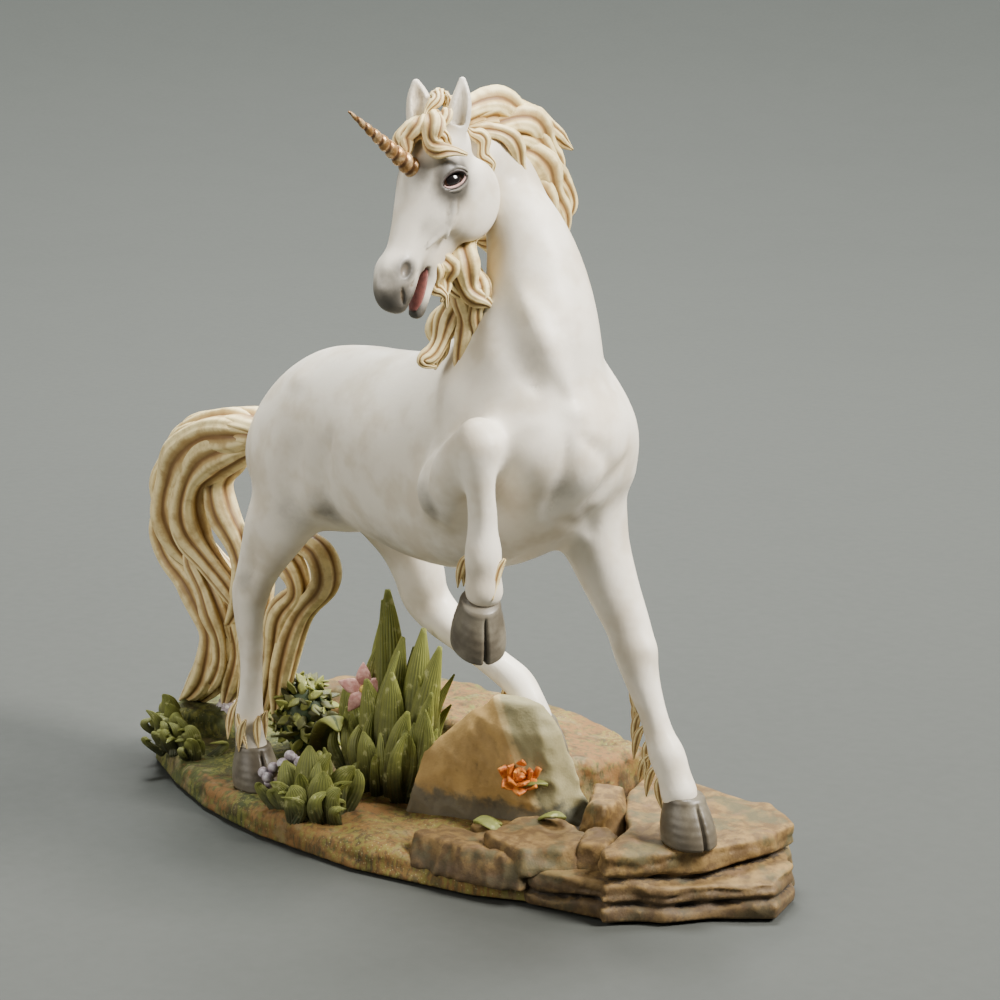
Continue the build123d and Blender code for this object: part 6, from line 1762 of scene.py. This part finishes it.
class AddStage(FigurineStep, bpy.types.Operator):
    """Adds the floor, the lamps and the camera."""

    bl_idname = "figurine.stage"
    bl_label = "Stage"

    def build(self, sizes, colours):
        scene = bpy.context.scene
        mesh = bpy.data.meshes.new("floor")
        flat, bend, wall = STUDIO_BOWL
        rise = np.radians(np.linspace(0, 90, 16))
        radius = np.concatenate([[0.05], [flat / 2], flat + bend * np.sin(rise), [flat + bend]])
        height = np.concatenate([[0, 0], bend * (1 - np.cos(rise)), [wall]])
        sides = STUDIO_SIDES
        turn = np.linspace(0, 2 * np.pi, sides, endpoint=False)
        points = np.stack([np.outer(radius, np.cos(turn)), np.outer(radius, np.sin(turn)),
                           np.outer(height, np.ones(sides))], -1).reshape(-1, 3)
        i, j = np.meshgrid(np.arange(len(radius) - 1), np.arange(sides), indexing="ij")
        k = (j + 1) % sides
        faces = np.stack([i * sides + j, (i + 1) * sides + j, (i + 1) * sides + k, i * sides + k], -1)
        mesh.from_pydata(points.tolist(), [], faces.reshape(-1, 4).tolist() + [list(range(sides))])
        mesh.polygons.foreach_set("use_smooth", np.ones(len(mesh.polygons), bool))
        floor = bpy.data.objects.new("floor", mesh)
        scene.collection.objects.link(floor)
        tone = tuple(colours.floor)
        mesh.materials.append(plain_paint("floor", tone, tuple(0.96 * part for part in tone), 0.05, 0.7))
        for name, (place, aim, size, power, tint) in STUDIO_LAMPS.items():
            lamp = bpy.data.lights.new(name, "AREA")
            lamp.energy = power
            lamp.size = size
            lamp.color = tint
            holder = bpy.data.objects.new(name, lamp)
            holder.location = place
            away = Vector(place) - Vector(aim)
            holder.rotation_euler = away.to_track_quat("Z", "Y").to_euler()
            scene.collection.objects.link(holder)
        world = bpy.data.worlds.new("studio")
        world.use_nodes = True
        sky = world.node_tree.nodes["Background"].inputs
        sky["Color"].default_value = STUDIO_SKY
        sky["Strength"].default_value = STUDIO_SKY_STRENGTH
        scene.world = world
        camera = bpy.data.objects.new("camera", bpy.data.cameras.new("camera"))
        camera.data.lens = CAMERA_LENS
        camera.location = CAMERA_PLACE
        camera.rotation_euler = [math.radians(angle) for angle in CAMERA_TURN_DEGREES]
        scene.collection.objects.link(camera)
        scene.camera = camera


class FigurinePanel(bpy.types.Panel):
    """The sidebar panel with the building steps, sizes and colours."""

    bl_idname = "FIGURINE_PT_panel"
    bl_label = "Unicorn figurine"
    bl_space_type = "VIEW_3D"
    bl_region_type = "UI"
    bl_category = "Figurine"

    def draw(self, context):
        for step in STEPS:
            self.layout.operator(step.bl_idname)
        for group in (context.scene.figurine_sizes, context.scene.figurine_colours):
            column = self.layout.column()
            for name in group.__annotations__:
                column.prop(group, name)


STEPS = (AddBody, AddHead, AddFace, AddHooves, AddHair, AddBase, AddPlants, PaintFixings, AddStage)
CLASSES = (FigurineSizes, FigurineColours, *STEPS, FigurinePanel)


def register():
    """Make the steps, the properties and the panel known to Blender."""
    for each in CLASSES:
        bpy.utils.register_class(each)
    bpy.types.Scene.figurine_sizes = bpy.props.PointerProperty(type=FigurineSizes)
    bpy.types.Scene.figurine_colours = bpy.props.PointerProperty(type=FigurineColours)


def unregister():
    """Take them away again."""
    del bpy.types.Scene.figurine_sizes
    del bpy.types.Scene.figurine_colours
    for each in reversed(CLASSES):
        bpy.utils.unregister_class(each)


def main():
    """Build every piece in order."""
    register()
    for step in STEPS:
        group, name = step.bl_idname.split(".")
        if getattr(getattr(bpy.ops, group), name)() != {"FINISHED"}:
            raise RuntimeError(f"the step {step.bl_label} did not finish")


if __name__ == "__main__":
    main()
